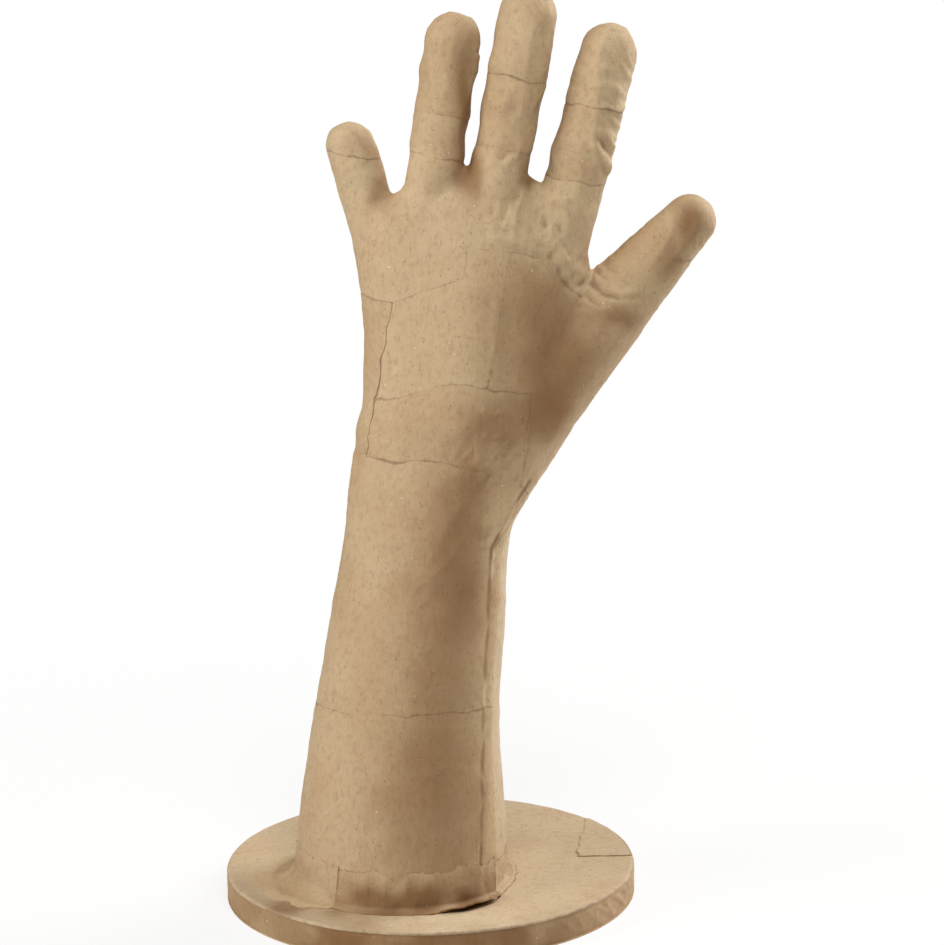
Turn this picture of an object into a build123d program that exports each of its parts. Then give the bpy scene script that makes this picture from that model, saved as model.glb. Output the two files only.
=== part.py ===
from build123d import *
import math
import os

# Papier-mache hand with spread fingers on a forearm that stands on a round base.
# Millimetres, +Z up, the back of the hand toward -Y, the thumb toward +X.

# Sheet goods.
PAPER = 0.5  # one pasted kraft sheet
PASTE = 0.1  # paste line under a sheet on a curved face
BOARD = 3.0  # one grey board disc of the base
CARD = 1.6  # card rolled into the forearm
SHELL = 3.0  # moulded hand shell wall
TUBE_WALL = 2.4  # rolled paper wall of a digit

# Base.
BASE_DIAMETER = 135.0
BOARD_COUNT = 3
PATCH_INNER_X = 51.0  # small patch at the right edge of the top sheet
PATCH_FRONT_Y = 5.0
PATCH_BACK_Y = 39.0

# Forearm, in its own frame: x across, s up the leaning axis from the base top.
LEAN_BACK = 6.0  # degrees
FOOT_Y = -14.0
FOREARM_LENGTH = 137.0  # to the wrist rim
SEAM_ANGLE = -32.0  # degrees from +x, where the rolled edge lies
CARD_LAP = 0.07  # turn of the inner edge past the seam
# share of the length, centre x, half width, half depth
FOREARM_RINGS = [
    (0.00, -9.3, 33.1, 32.4),
    (0.20, -8.2, 31.8, 30.0),
    (0.42, -6.0, 28.7, 27.0),
    (0.72, -0.8, 26.2, 23.0),
    (0.86, 1.9, 25.6, 21.0),
    (0.96, 5.4, 27.5, 20.2),
    (1.07, 12.0, 30.2, 20.0),
]
WRAP_LINE = 0.43  # share of the length where lower and upper wraps meet
STRIP_TURN = 0.2  # turn covered by the strip along the rolled edge
STRIP_GAP = 0.003  # turn left open between two neighbouring sheets

# Foot strips, each a turn range round the forearm and a flange width.
FOOT_STRIP_RISE = 8.5
FOOT_STRIPS = {
    "foot_strip_right": (0.0, 0.22, 4.5),
    "foot_strip_back": (0.22, 0.46, 5.0),
    "foot_strip_left": (0.46, 0.70, 7.0),
    "foot_strip_front": (0.70, 1.0, 4.0),
}

# Wrist joint: the hand stands on the rim and a spigot goes down inside the sleeve.
WRIST_X = 4.5
HAND_TILT = 11.0  # degrees toward the thumb
SPIGOT_LENGTH = 16.0
SPIGOT_FIT = 0.3
SPIGOT_RISE = 3.0  # how far the spigot runs up inside the hand

# Hand, in its own frame: u across, v up from the wrist rim.
# v, left u, right u, depth to the palm side, depth to the ridge of the back, fullness of the back
HAND_RINGS = [
    (0.0, -25.6, 30.6, 20.4, 20.4, 2.4),
    (12.0, -26.2, 37.6, 19.4, 20.2, 2.0),
    (30.0, -28.3, 39.0, 17.4, 20.0, 1.7),
    (50.0, -33.0, 39.0, 15.5, 18.8, 1.6),
    (66.0, -37.0, 38.0, 13.8, 16.6, 1.65),
    (77.0, -33.6, 34.0, 11.4, 13.2, 1.9),
    (86.0, -22.8, 28.0, 8.4, 9.2, 2.2),
    (92.0, -13.0, 20.5, 5.4, 5.6, 2.4),
    (95.5, -4.0, 9.0, 3.0, 3.0, 2.4),
]
PALM_POWER = 2.4

# Digits: straight tapered tubes with round ends, from root to tip centre (u, y, v).
SOCKET_FIT = 0.1
ROOT_OVERRUN = 4.0  # how far the socket cut runs past the root end
# root, tip centre, root radius, tip radius
DIGITS = {
    "thumb": ((27.0, 4.0, 27.4), (66.8, 2.5, 90.6), 16.6, 7.5),
    "index_finger": ((25.6, 0.0, 68.0), (31.2, 1.0, 138.8), 9.2, 8.3),
    "middle_finger": ((2.8, -3.5, 76.0), (4.0, 0.0, 146.0), 8.2, 8.5),
    "ring_finger": ((-16.4, -1.0, 72.0), (-18.4, 2.0, 134.0), 8.1, 7.9),
    "little_finger": ((-27.8, 2.2, 61.6), (-45.0, 6.0, 95.0), 7.9, 7.0),
}
# how far a domed root runs on below its centre; the other roots are cut straight
DOMED_ROOT = {"thumb": 12.4}
# v of each joint between two wraps of a digit, from the root up
WRAP_JOINTS = {
    "thumb": [78.0],
    "index_finger": [97.0, 121.0],
    "middle_finger": [103.0, 126.0],
    "ring_finger": [97.0, 110.0],
    "little_finger": [92.0],
}

# Sheet borders on the hand, in its own frame.
EDGE_LINE_U = -23.0  # strip along the little finger side
HEEL_LINE_U = 26.0  # heel of the thumb
WRIST_LINE_V = 28.0  # top of the wrist sheet, at the middle
WRIST_LINE_LEFT_V = 17.0
HEEL_LINE_V = 25.0
KNUCKLE_LINE_V = 61.0  # lower border of the knuckle sheets, at the split
KNUCKLE_LINE_LEFT_V = 49.0
SPLIT_U = -2.0  # between the two knuckle sheets
SPLIT_TOP_U = -4.0
CREASE_V = 71.0  # lower border of the right knuckle sheet
CREASE_TURN_U = 23.0
CREASE_END_U = 37.0
CREASE_END_V = 59.0
THUMB_LINE_U = 10.5  # between the middle and thumb sheets
PALM_LINE_V = 34.0

# Worked out from the sizes above.
BASE_HEIGHT = 2 * PAPER + BOARD_COUNT * BOARD
BASE_RADIUS = BASE_DIAMETER / 2
SKIN = PASTE + PAPER
REACH = 400.0  # larger than the object, for cutting

ARM = Location((0, FOOT_Y, BASE_HEIGHT), (-LEAN_BACK, 0, 0))
WRIST = ARM * Location((WRIST_X, 0, FOREARM_LENGTH), (0, HAND_TILT, 0))
ROLL_POINTS = 24  # outline points per turn of a rolled sheet
RING_POINTS = 16  # outline points of a closed ring


def spread(value, power):
    """Signed power that bends a circle point onto a fuller oval."""
    return math.copysign(abs(value) ** (2 / power), value)


def ellipse(angle, half_width, half_depth):
    """Point of an ellipse at a given angle in degrees."""
    turn = math.radians(angle)
    return half_width * math.cos(turn), half_depth * math.sin(turn)


def closed_ring(points):
    """Closed smooth wire through points."""
    return Wire([Edge.make_spline(points, periodic=True)])


def slab(location, low, high):
    """Everything between two heights of a frame."""
    return location * Pos(0, 0, (low + high) / 2) * Box(REACH, REACH, high - low)


def single(shape):
    """The one solid of a cut result."""
    solids = sorted(shape.solids(), key=lambda solid: solid.volume)
    return solids[-1]


def forearm_rings():
    """Forearm rings with one more below the base top, for the slanted foot cut."""
    share, centre, width, depth = FOREARM_RINGS[0]
    below = -2 * depth * math.tan(math.radians(LEAN_BACK)) / FOREARM_LENGTH
    rise = FOREARM_RINGS[1][0] - share
    drift = [a - b for a, b in zip(FOREARM_RINGS[0][1:], FOREARM_RINGS[1][1:])]
    first = [a - below / rise * b for a, b in zip((centre, width, depth), drift)]
    return [(below, *first)] + FOREARM_RINGS


def rolled_point(ring, offset, turn):
    """Point on the rolled card at a turn counted from the seam."""
    share, centre, width, depth = ring
    out = offset + (CARD + PASTE) * turn
    angle = SEAM_ANGLE + 360 * turn
    x, y = ellipse(angle, width + out, depth + out)
    return Vector(centre + x, y, share * FOREARM_LENGTH)


def rolled_edge(ring, offset, turns):
    """Smooth edge along the rolled card, true to its direction at both ends."""
    points = [rolled_point(ring, offset, turn) for turn in turns]
    way = 1e-4 if turns[-1] > turns[0] else -1e-4
    ends = []
    for turn in (turns[0], turns[-1]):
        step = rolled_point(ring, offset, turn + way) - rolled_point(ring, offset, turn - way)
        ends.append(step.normalized())
    return Edge.make_spline(points, tangents=ends, scale=False)


def rolled_sheet(inner, outer, start, end):
    """Sheet that follows the rolled card between two offsets and two turns."""
    count = max(4, round(ROLL_POINTS * (end - start)))
    turns = [start + (end - start) * i / count for i in range(count + 1)]
    wires = []
    for ring in forearm_rings():
        front = rolled_edge(ring, outer, turns)
        back = rolled_edge(ring, inner, turns[::-1])
        edges = [front, Edge.make_line(front @ 1, back @ 0), back, Edge.make_line(back @ 1, front @ 0)]
        wires.append(Wire(edges))
    return ARM * Solid.make_loft(wires)


def forearm_fill(offset):
    """Filled oval forearm at an offset from the card's first turn."""
    wires = []
    for share, centre, width, depth in forearm_rings():
        points = []
        for i in range(RING_POINTS):
            x, y = ellipse(360 * i / RING_POINTS, width + offset, depth + offset)
            points.append((centre + x, y, share * FOREARM_LENGTH))
        wires.append(closed_ring(points))
    return ARM * Solid.make_loft(wires)


def hand_ring(v, middle, half_width, palm, ridge, back_power):
    """Section across the hand's axis, full at the palm and ridged at the back."""
    points = []
    for i in range(RING_POINTS):
        x, y = ellipse(360 * i / RING_POINTS, 1, 1)
        power = PALM_POWER if y > 0 else back_power
        depth = palm if y > 0 else ridge
        points.append((middle + half_width * spread(x, power), depth * spread(y, power), v))
    return closed_ring(points)


def hand_fill(offset):
    """Filled palm and knuckle dome at an offset."""
    wires = []
    top, left, right, crown, ridge, power = HAND_RINGS[-1]
    for v, left, right, palm, ridge, power in HAND_RINGS:
        if palm + offset > crown / 2:
            half_width = (right - left) / 2 + offset
            wires.append(hand_ring(v, (left + right) / 2, half_width, palm + offset, ridge + offset, power))
    end = top + crown / 2 + offset
    wires.append(hand_ring(end, (left + right) / 2, (right - left) / 4, crown / 4, crown / 4, power))
    return WRIST * Solid.make_loft(wires)


def digit_frame(name):
    """Frame at a digit's root with +Z along the digit."""
    root, tip = DIGITS[name][:2]
    along = Vector(*tip) - Vector(*root)
    return WRIST * Plane(origin=root, z_dir=along).location


def digit_fill(name, offset):
    """Filled digit at an offset, with a domed root or one drawn out a little below its end."""
    root, tip, root_radius, tip_radius = DIGITS[name]
    length = (Vector(*tip) - Vector(*root)).length
    taper = math.asin((root_radius - tip_radius) / length)
    big = root_radius + offset
    small = tip_radius + offset
    low = big / math.cos(taper) + ROOT_OVERRUN * math.tan(taper)
    meet = (small * math.cos(taper), 0, length + small * math.sin(taper))
    bow = math.radians(45) + taper / 2
    middle = (small * math.cos(bow), 0, length + small * math.sin(bow))
    end = (0, 0, length + small)
    if name in DOMED_ROOT:
        swing = math.radians(-45) + taper / 2
        start = (0, 0, -big)
        turn = (big * math.cos(taper), 0, big * math.sin(taper))
        root_end = Edge.make_three_point_arc(start, (big * math.cos(swing), 0, big * math.sin(swing)), turn)
    else:
        start = (0, 0, -ROOT_OVERRUN)
        turn = (low, 0, -ROOT_OVERRUN)
        root_end = Edge.make_line(start, turn)
    outline = [
        root_end,
        Edge.make_line(turn, meet),
        Edge.make_three_point_arc(meet, middle, end),
        Edge.make_line(end, start),
    ]
    return digit_frame(name) * Solid.revolve(Face(Wire(outline)), 360, Axis.Z)


def panel(corners, front=True, back=True):
    """Cutting block with a given outline across the hand, u then v."""
    near = -REACH if front else 0
    far = REACH if back else 0
    outline = Polyline(*[(u, near, v) for u, v in corners], close=True)
    return WRIST * Solid.extrude(Face(Wire(outline.edges())), Vector(0, far - near, 0))


os.makedirs("parts", exist_ok=True)
pieces = {}

# Base: three board discs, a top and a bottom sheet, two rim bands and a patch.
for i in range(BOARD_COUNT):
    disc = Cylinder(BASE_RADIUS - SKIN, BOARD, align=(Align.CENTER, Align.CENTER, Align.MIN))
    pieces[f"base_board_{i + 1}"] = Pos(0, 0, PAPER + i * BOARD) * disc
sheet = Cylinder(BASE_RADIUS, PAPER, align=(Align.CENTER, Align.CENTER, Align.MIN))
pieces["base_bottom_sheet"] = sheet
pieces["base_top_sheet"] = Pos(0, 0, BASE_HEIGHT - PAPER) * sheet
rim_height = BOARD_COUNT * BOARD
rim = Pos(0, 0, PAPER + rim_height / 2) * (
    Cylinder(BASE_RADIUS, rim_height) - Cylinder(BASE_RADIUS - PAPER, rim_height)
)
pieces["base_rim_left"] = rim & (Pos(-REACH / 2, 0, 0) * Box(REACH, REACH, REACH))
pieces["base_rim_right"] = rim & (Pos(REACH / 2, 0, 0) * Box(REACH, REACH, REACH))
patch_depth = PATCH_BACK_Y - PATCH_FRONT_Y
patch = Pos(PATCH_INNER_X, PATCH_FRONT_Y, BASE_HEIGHT) * Box(
    REACH, patch_depth, PAPER, align=(Align.MIN, Align.MIN, Align.MIN)
)
pieces["base_edge_patch"] = patch & (Pos(0, 0, BASE_HEIGHT) * sheet)

# Forearm: a rolled card sleeve and its kraft sheets, cut off at the base and at the rim.
standing = slab(Location(), BASE_HEIGHT, REACH)
below_rim = slab(WRIST, -REACH, 0)
sleeve_space = standing & below_rim
pieces["forearm_sleeve"] = rolled_sheet(-CARD, 0, -CARD_LAP, 1) & sleeve_space
skin_space = slab(Location(), BASE_HEIGHT, REACH) & below_rim
lower_part = slab(ARM, -REACH, WRAP_LINE * FOREARM_LENGTH) & skin_space
upper_part = slab(ARM, WRAP_LINE * FOREARM_LENGTH, REACH) & skin_space
wrap = rolled_sheet(PASTE, SKIN, STRIP_TURN + STRIP_GAP, 1)
pieces["forearm_lower_wrap"] = wrap & lower_part
pieces["forearm_upper_wrap"] = wrap & upper_part
pieces["forearm_edge_strip"] = rolled_sheet(PASTE, SKIN, STRIP_GAP, STRIP_TURN) & skin_space
rise_space = slab(Location(), BASE_HEIGHT, BASE_HEIGHT + FOOT_STRIP_RISE)
flange_space = slab(Location(), BASE_HEIGHT, BASE_HEIGHT + PAPER)
for name, (start, end, flange) in FOOT_STRIPS.items():
    start += STRIP_GAP / 2
    end -= STRIP_GAP / 2
    upright = rolled_sheet(SKIN + PASTE, 2 * SKIN, start, end) & rise_space
    foot = rolled_sheet(SKIN + PASTE, 2 * SKIN + flange, start, end) & flange_space
    pieces[name] = upright + foot

# Digits: hollow rolled paper tubes set into the hand, each with its kraft wraps.
hand_outside = hand_fill(SKIN)
for name in DIGITS:
    tube = digit_fill(name, 0) - digit_fill(name, -TUBE_WALL)
    pieces[f"{name}_tube"] = tube & slab(digit_frame(name), -DOMED_ROOT.get(name, 0), REACH)
    cover = digit_fill(name, SKIN) - digit_fill(name, PASTE) - hand_outside
    limits = [-REACH] + WRAP_JOINTS[name] + [REACH]
    labels = ["root", "tip"] if len(limits) == 3 else ["root", "middle", "tip"]
    for label, low, high in zip(labels, limits, limits[1:]):
        pieces[f"{name}_{label}_wrap"] = cover & slab(WRIST, low, high)

# Hand: two moulded shells on the wrist rim, with a spigot inside the sleeve.
inside = -CARD - CARD_LAP * (CARD + PASTE) - SPIGOT_FIT
spigot = forearm_fill(inside) - forearm_fill(inside - SHELL)
spigot = spigot & slab(WRIST, -SPIGOT_LENGTH, SPIGOT_RISE)
hand_shell = (hand_fill(0) - hand_fill(-SHELL)) & slab(WRIST, 0, REACH)
hand_shell = hand_shell + spigot
for name in DIGITS:
    hand_shell = hand_shell - digit_fill(name, SOCKET_FIT)
front_space = panel([(-REACH, -REACH), (REACH, -REACH), (REACH, REACH), (-REACH, REACH)], back=False)
pieces["hand_back_shell"] = hand_shell & front_space
pieces["hand_palm_shell"] = hand_shell - front_space

# Kraft sheets on the hand, with holes where the digits come out.
hand_skin = (hand_outside - hand_fill(PASTE)) & slab(WRIST, 0, REACH)
for name in DIGITS:
    hand_skin = hand_skin - digit_fill(name, PASTE)
split_line = [(SPLIT_U, KNUCKLE_LINE_V), (SPLIT_TOP_U, REACH)]
knuckle_line = [(-REACH, KNUCKLE_LINE_LEFT_V), (EDGE_LINE_U, KNUCKLE_LINE_LEFT_V), split_line[0]]
crease = [
    (SPLIT_U, CREASE_V),
    (CREASE_TURN_U, CREASE_V),
    (CREASE_END_U, CREASE_END_V),
    (REACH, CREASE_END_V),
]
wrist_line = [
    (EDGE_LINE_U, WRIST_LINE_LEFT_V),
    (0, WRIST_LINE_V),
    (THUMB_LINE_U, WRIST_LINE_V),
    (HEEL_LINE_U, WRIST_LINE_V),
]
sheets = {
    "hand_edge_strip": panel(
        [(-REACH, 0), (EDGE_LINE_U, 0), (EDGE_LINE_U, KNUCKLE_LINE_LEFT_V), (-REACH, KNUCKLE_LINE_LEFT_V)]
    ),
    "hand_heel_sheet": panel(
        [(HEEL_LINE_U, 0), (REACH, 0), (REACH, HEEL_LINE_V), (HEEL_LINE_U, HEEL_LINE_V)]
    ),
    "wrist_sheet": panel([(HEEL_LINE_U, 0), (EDGE_LINE_U, 0)] + wrist_line, back=False),
    "hand_back_sheet": panel(
        [(THUMB_LINE_U, CREASE_V), (SPLIT_U, CREASE_V)] + knuckle_line[:0:-1] + wrist_line[:3], back=False
    ),
    "hand_thumb_sheet": panel(
        [(HEEL_LINE_U, WRIST_LINE_V), (HEEL_LINE_U, HEEL_LINE_V), (REACH, HEEL_LINE_V)]
        + crease[:0:-1]
        + [(THUMB_LINE_U, CREASE_V), (THUMB_LINE_U, WRIST_LINE_V)],
        back=False,
    ),
    "knuckle_left_sheet": panel(knuckle_line + [split_line[1], (-REACH, REACH)], back=False),
    "knuckle_right_sheet": panel(crease + [(REACH, REACH), split_line[1]], back=False),
    "palm_lower_sheet": panel(
        [(EDGE_LINE_U, 0), (HEEL_LINE_U, 0), (HEEL_LINE_U, PALM_LINE_V), (EDGE_LINE_U, PALM_LINE_V)],
        front=False,
    ),
    "palm_upper_sheet": panel(
        [
            (EDGE_LINE_U, PALM_LINE_V),
            (HEEL_LINE_U, PALM_LINE_V),
            (HEEL_LINE_U, HEEL_LINE_V),
            (REACH, HEEL_LINE_V),
            (REACH, REACH),
            (-REACH, REACH),
            (-REACH, KNUCKLE_LINE_LEFT_V),
            (EDGE_LINE_U, KNUCKLE_LINE_LEFT_V),
        ],
        front=False,
    ),
}
for name, block in sheets.items():
    pieces[name] = hand_skin & block

for name, piece in pieces.items():
    export_step(single(piece), f"parts/{name}.step")
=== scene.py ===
import logging
import math
from dataclasses import dataclass, field
from enum import Enum
from typing import ClassVar

import bmesh
import bpy
import numpy as np
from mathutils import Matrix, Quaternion, Vector, noise
from mathutils.bvhtree import BVHTree
from mathutils.kdtree import KDTree


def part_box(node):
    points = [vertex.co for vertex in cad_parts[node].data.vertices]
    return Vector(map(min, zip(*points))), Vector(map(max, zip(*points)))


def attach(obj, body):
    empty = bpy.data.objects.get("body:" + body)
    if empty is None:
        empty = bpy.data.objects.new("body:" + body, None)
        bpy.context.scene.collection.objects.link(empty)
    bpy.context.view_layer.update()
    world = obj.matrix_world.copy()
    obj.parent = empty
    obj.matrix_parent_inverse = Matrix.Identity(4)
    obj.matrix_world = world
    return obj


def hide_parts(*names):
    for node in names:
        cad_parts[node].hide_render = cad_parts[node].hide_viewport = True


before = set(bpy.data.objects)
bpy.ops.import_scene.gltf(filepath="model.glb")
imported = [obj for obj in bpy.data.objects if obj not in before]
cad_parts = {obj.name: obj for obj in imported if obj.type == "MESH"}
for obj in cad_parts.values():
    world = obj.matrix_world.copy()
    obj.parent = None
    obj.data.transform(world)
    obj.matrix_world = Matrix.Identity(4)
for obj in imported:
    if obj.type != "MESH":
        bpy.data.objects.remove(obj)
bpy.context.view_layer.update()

MM = 0.001
BODY = "root"
LEAN_BACK = math.radians(6.0)  # the arm leans back on its foot
FOOT_X, FOOT_Y = -9.3, -14.0  # middle of the forearm's foot on the base, in millimetres
BASE_TOP = 10.0
EDGE_LINE = 1.4  # width of the dark line along a torn edge, of dried paste and painted shade, in millimetres
log = logging.getLogger("papier_mache_hand")

Path2D = tuple[tuple[float, float], ...]
Colour = tuple[float, float, float, float]
Socket = bpy.types.NodeSocket


def linear(hex_colour: str) -> Colour:
    """Turn an sRGB hex colour into the linear colour that a socket takes.

    Args:
        hex_colour: six hex digits with or without a leading hash.

    Returns:
        Linear red, green, blue and alpha.
    """
    digits = hex_colour.lstrip("#")
    srgb = [int(digits[i : i + 2], 16) / 255 for i in (0, 2, 4)]
    out = [c / 12.92 if c <= 0.04045 else ((c + 0.055) / 1.055) ** 2.4 for c in srgb]
    return (out[0], out[1], out[2], 1.0)


def add_node(
    tree: bpy.types.NodeTree, kind: str, settings: dict[str, object] | None = None, links: dict | None = None
) -> bpy.types.Node:
    """Add one shader node, set it up and link it.

    Args:
        tree: the node tree that takes the node.
        kind: the node's type name.
        settings: property names and values of the node itself.
        links: input names or numbers, each with a socket to link or a value to set.

    Returns:
        The new node.
    """
    node = tree.nodes.new(kind)
    for name, value in (settings or {}).items():
        setattr(node, name, value)
    for name, value in (links or {}).items():
        if isinstance(value, Socket):
            tree.links.new(value, node.inputs[name])
        else:
            node.inputs[name].default_value = value
    return node


def noise_node(tree: bpy.types.NodeTree, place: Socket, size_mm: float, **inputs: float) -> bpy.types.Node:
    """Add a noise pattern whose lumps have a real size.

    Args:
        tree: the node tree that takes the node.
        place: the coordinates to draw it on.
        size_mm: size of a lump in millimetres.
        inputs: values of the pattern's other inputs.

    Returns:
        The new node.
    """
    links = {"Vector": place, "Scale": 1 / (size_mm * MM), **inputs}
    return add_node(tree, "ShaderNodeTexNoise", links=links)


def reckoned(tree: bpy.types.NodeTree, operation: str, *terms: Socket | float) -> Socket:
    """Add a sum or product of sockets and values.

    Args:
        tree: the node tree that takes the node.
        operation: the name of the operation.
        terms: what it works on, in order.

    Returns:
        The result's socket.
    """
    return add_node(tree, "ShaderNodeMath", {"operation": operation}, dict(enumerate(terms))).outputs["Value"]


def bare_material(name: str) -> bpy.types.Material:
    """Start a node material without any node.

    Args:
        name: the finish's name.

    Returns:
        The empty material.
    """
    mat = bpy.data.materials.new(name)
    mat.use_nodes = True
    mat.node_tree.nodes.clear()
    return mat


class Tone(Enum):
    """How deep a kraft sheet's brown is, as sRGB hex."""

    ASH = "#C6B08F"
    PALE = "#C0A57F"
    WARM = "#BA9D76"
    BROWN = "#A5845B"


@dataclass(frozen=True)
class KraftPaper:
    """Brown kraft paper, pasted on wet and dried: matt, fibrous, speckled, darker where paste gathered, with
    painted shade in its hollows, creases and along lapped edges, and painted light and shade on its soaked
    and pale places.
    """

    tone: Tone
    fibre_hex: str = "#8A6A45"
    bleached_hex: str = "#D2BC98"
    speck_hex: str = "#4A3420"
    fleck_hex: str = "#E6DAC2"
    # dark brown for the torn-edge lines (dried paste and painted shade) and for the painted shade in hollows
    # and creases
    paste_and_shade_hex: str = "#6E4F2F"
    # dark brown for soaked places: paste stain and painted shade
    soaked_and_shaded_hex: str = "#7A5022"
    # pale for dry places: pale paper and painted light
    pale_hex: str = "#E6CFA8"
    blush_hex: str = "#BE9673"
    cloud_mm: float = 22.0
    mottle_mm: float = 2.2
    fibre_mm: float = 0.9  # real fibres are finer: drawn as coarse as the picture can show
    fibre_run: tuple[float, float, float] = (1.0, 1.0, 0.28)  # fibres lie upright, along the arm
    speck_spacing_mm: float = 2.7
    fleck_spacing_mm: float = 6.0
    grain_mm: float = 0.35
    grain_strength: float = 0.35
    roughness: float = 0.72
    roughness_change: float = 0.1
    ior: float = 1.5

    def material(self) -> bpy.types.Material:
        """Build the node material, or return it if it is there already.

        Returns:
            The kraft paper material of this tone.
        """
        name = f"pasted_kraft_paper_{self.tone.name.lower()}"
        found = bpy.data.materials.get(name)
        if found:
            return found
        mat = bare_material(name)
        tree = mat.node_tree
        place = add_node(tree, "ShaderNodeTexCoord").outputs["Object"]
        cloud = noise_node(tree, place, self.cloud_mm, Detail=3.0, Roughness=0.6)
        mottle = noise_node(tree, place, self.mottle_mm, Detail=5.0, Roughness=0.68).outputs["Fac"]
        drawn = add_node(tree, "ShaderNodeMapping", links={"Vector": place, "Scale": self.fibre_run})
        run = drawn.outputs["Vector"]
        fibre = noise_node(tree, run, self.fibre_mm, Detail=4.0, Roughness=0.7, Distortion=0.6).outputs["Fac"]
        colour = self._pulp(tree, place, cloud, mottle, fibre)
        colour = self._paste(tree, colour, cloud.outputs["Fac"], mottle)
        grain = reckoned(tree, "ADD", fibre, mottle)
        relief = {"Height": grain, "Strength": self.grain_strength, "Distance": self.grain_mm * MM}
        bump = add_node(tree, "ShaderNodeBump", links=relief)
        low, high = self.roughness - self.roughness_change, self.roughness + self.roughness_change
        dull = add_node(tree, "ShaderNodeMapRange", links={"Value": mottle, "To Min": low, "To Max": high})
        surface = {
            "Base Color": colour,
            "Roughness": dull.outputs["Result"],
            "IOR": self.ior,
            "Normal": bump.outputs["Normal"],
        }
        shader = add_node(tree, "ShaderNodeBsdfPrincipled", links=surface)
        add_node(tree, "ShaderNodeOutputMaterial", links={"Surface": shader.outputs["BSDF"]})
        return mat

    def _pulp(
        self, tree: bpy.types.NodeTree, place: Socket, cloud: bpy.types.Node, mottle: Socket, fibre: Socket
    ) -> Socket:
        """Colour of the dry sheet: recycled pulp is cloudy, with fibres, dark specks and pale flecks.

        Args:
            tree: the material's node tree.
            place: the object's coordinates.
            cloud: the widest pattern.
            mottle: the middle pattern.
            fibre: the pattern drawn out along the arm.

        Returns:
            The colour's socket.
        """
        tone = linear(self.tone.value)
        colour = self._mixed(tree, cloud.outputs["Fac"], (0.35, 0.7), tone, self.bleached_hex, 0.34)
        apart = add_node(tree, "ShaderNodeSeparateColor", links={"Color": cloud.outputs["Color"]})
        colour = self._mixed(tree, apart.outputs["Green"], (0.4, 0.7), colour, self.blush_hex, 0.28)
        colour = self._mixed(tree, mottle, (0.46, 0.74), colour, self.fibre_hex, 0.3)
        colour = self._mixed(tree, fibre, (0.5, 0.78), colour, self.fibre_hex, 0.5)
        for spacing, size, hex_colour in (
            (self.speck_spacing_mm, (0.1, 0.05), self.speck_hex),
            (self.fleck_spacing_mm, (0.06, 0.03), self.fleck_hex),
        ):
            scatter = {"Vector": place, "Scale": 1 / (spacing * MM)}
            dots = add_node(tree, "ShaderNodeTexVoronoi", links=scatter)
            colour = self._mixed(tree, dots.outputs["Distance"], size, colour, hex_colour, 0.75)
        return colour

    def _paste(self, tree: bpy.types.NodeTree, colour: Socket, cloud: Socket, mottle: Socket) -> Socket:
        """Colour with the dried paste and painted light and shade: broken lines at torn edges of dried paste
        and painted shade, painted shade in hollows, soaked places darkened by paste and painted shade, and
        pale places of dry paper and painted light.

        Args:
            tree: the material's node tree.
            colour: the dry sheet's colour.
            cloud: the widest pattern, which breaks the lines up.
            mottle: the middle pattern, which makes them ragged.

        Returns:
            The colour's socket.
        """
        edge, hollow, soak_and_shade = (
            add_node(tree, "ShaderNodeAttribute", {"attribute_name": mark}).outputs["Fac"]
            for mark in ("edge", "hollow", "soak_and_shade")
        )
        ragged = reckoned(tree, "MULTIPLY_ADD", mottle, 0.7, -0.36)
        broken = reckoned(tree, "MULTIPLY_ADD", cloud, 1.6, ragged)
        line = reckoned(tree, "ADD", edge, broken)
        # dark line at torn edges: dried paste and painted shade of the lapped edge
        colour = self._mixed(tree, line, (1.52, 1.95), colour, self.paste_and_shade_hex, 0.5)
        # painted shade in the hollows and creases
        colour = self._mixed(tree, hollow, (0.15, 1.0), colour, self.paste_and_shade_hex, 0.5)
        # soaked places: paste stain and painted shade
        colour = self._mixed(tree, soak_and_shade, (0.0, 1.0), colour, self.soaked_and_shaded_hex, 0.8)
        # pale places: dry pale paper and painted light
        return self._mixed(tree, soak_and_shade, (0.0, -1.0), colour, self.pale_hex, 0.8)

    def _mixed(
        self,
        tree: bpy.types.NodeTree,
        mask: Socket,
        span: tuple[float, float],
        below: Socket | Colour,
        hex_colour: str,
        share: float,
    ) -> Socket:
        """Lay one more colour over those below, where a mask says.

        Args:
            tree: the material's node tree.
            mask: the socket that drives the mix.
            span: mask values where the new colour starts and is full.
            below: the colour or socket underneath.
            hex_colour: the new colour.
            share: how much of it shows where the mask is full.

        Returns:
            The mixed colour's socket.
        """
        amount = add_node(
            tree,
            "ShaderNodeMapRange",
            {"interpolation_type": "SMOOTHSTEP"} if span[0] < span[1] else {},
            {"Value": mask, "From Min": span[0], "From Max": span[1], "To Min": 0.0, "To Max": share},
        )
        layers = {0: amount.outputs["Result"], 6: below, 7: linear(hex_colour)}
        return add_node(tree, "ShaderNodeMix", {"data_type": "RGBA"}, layers).outputs[2]


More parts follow.
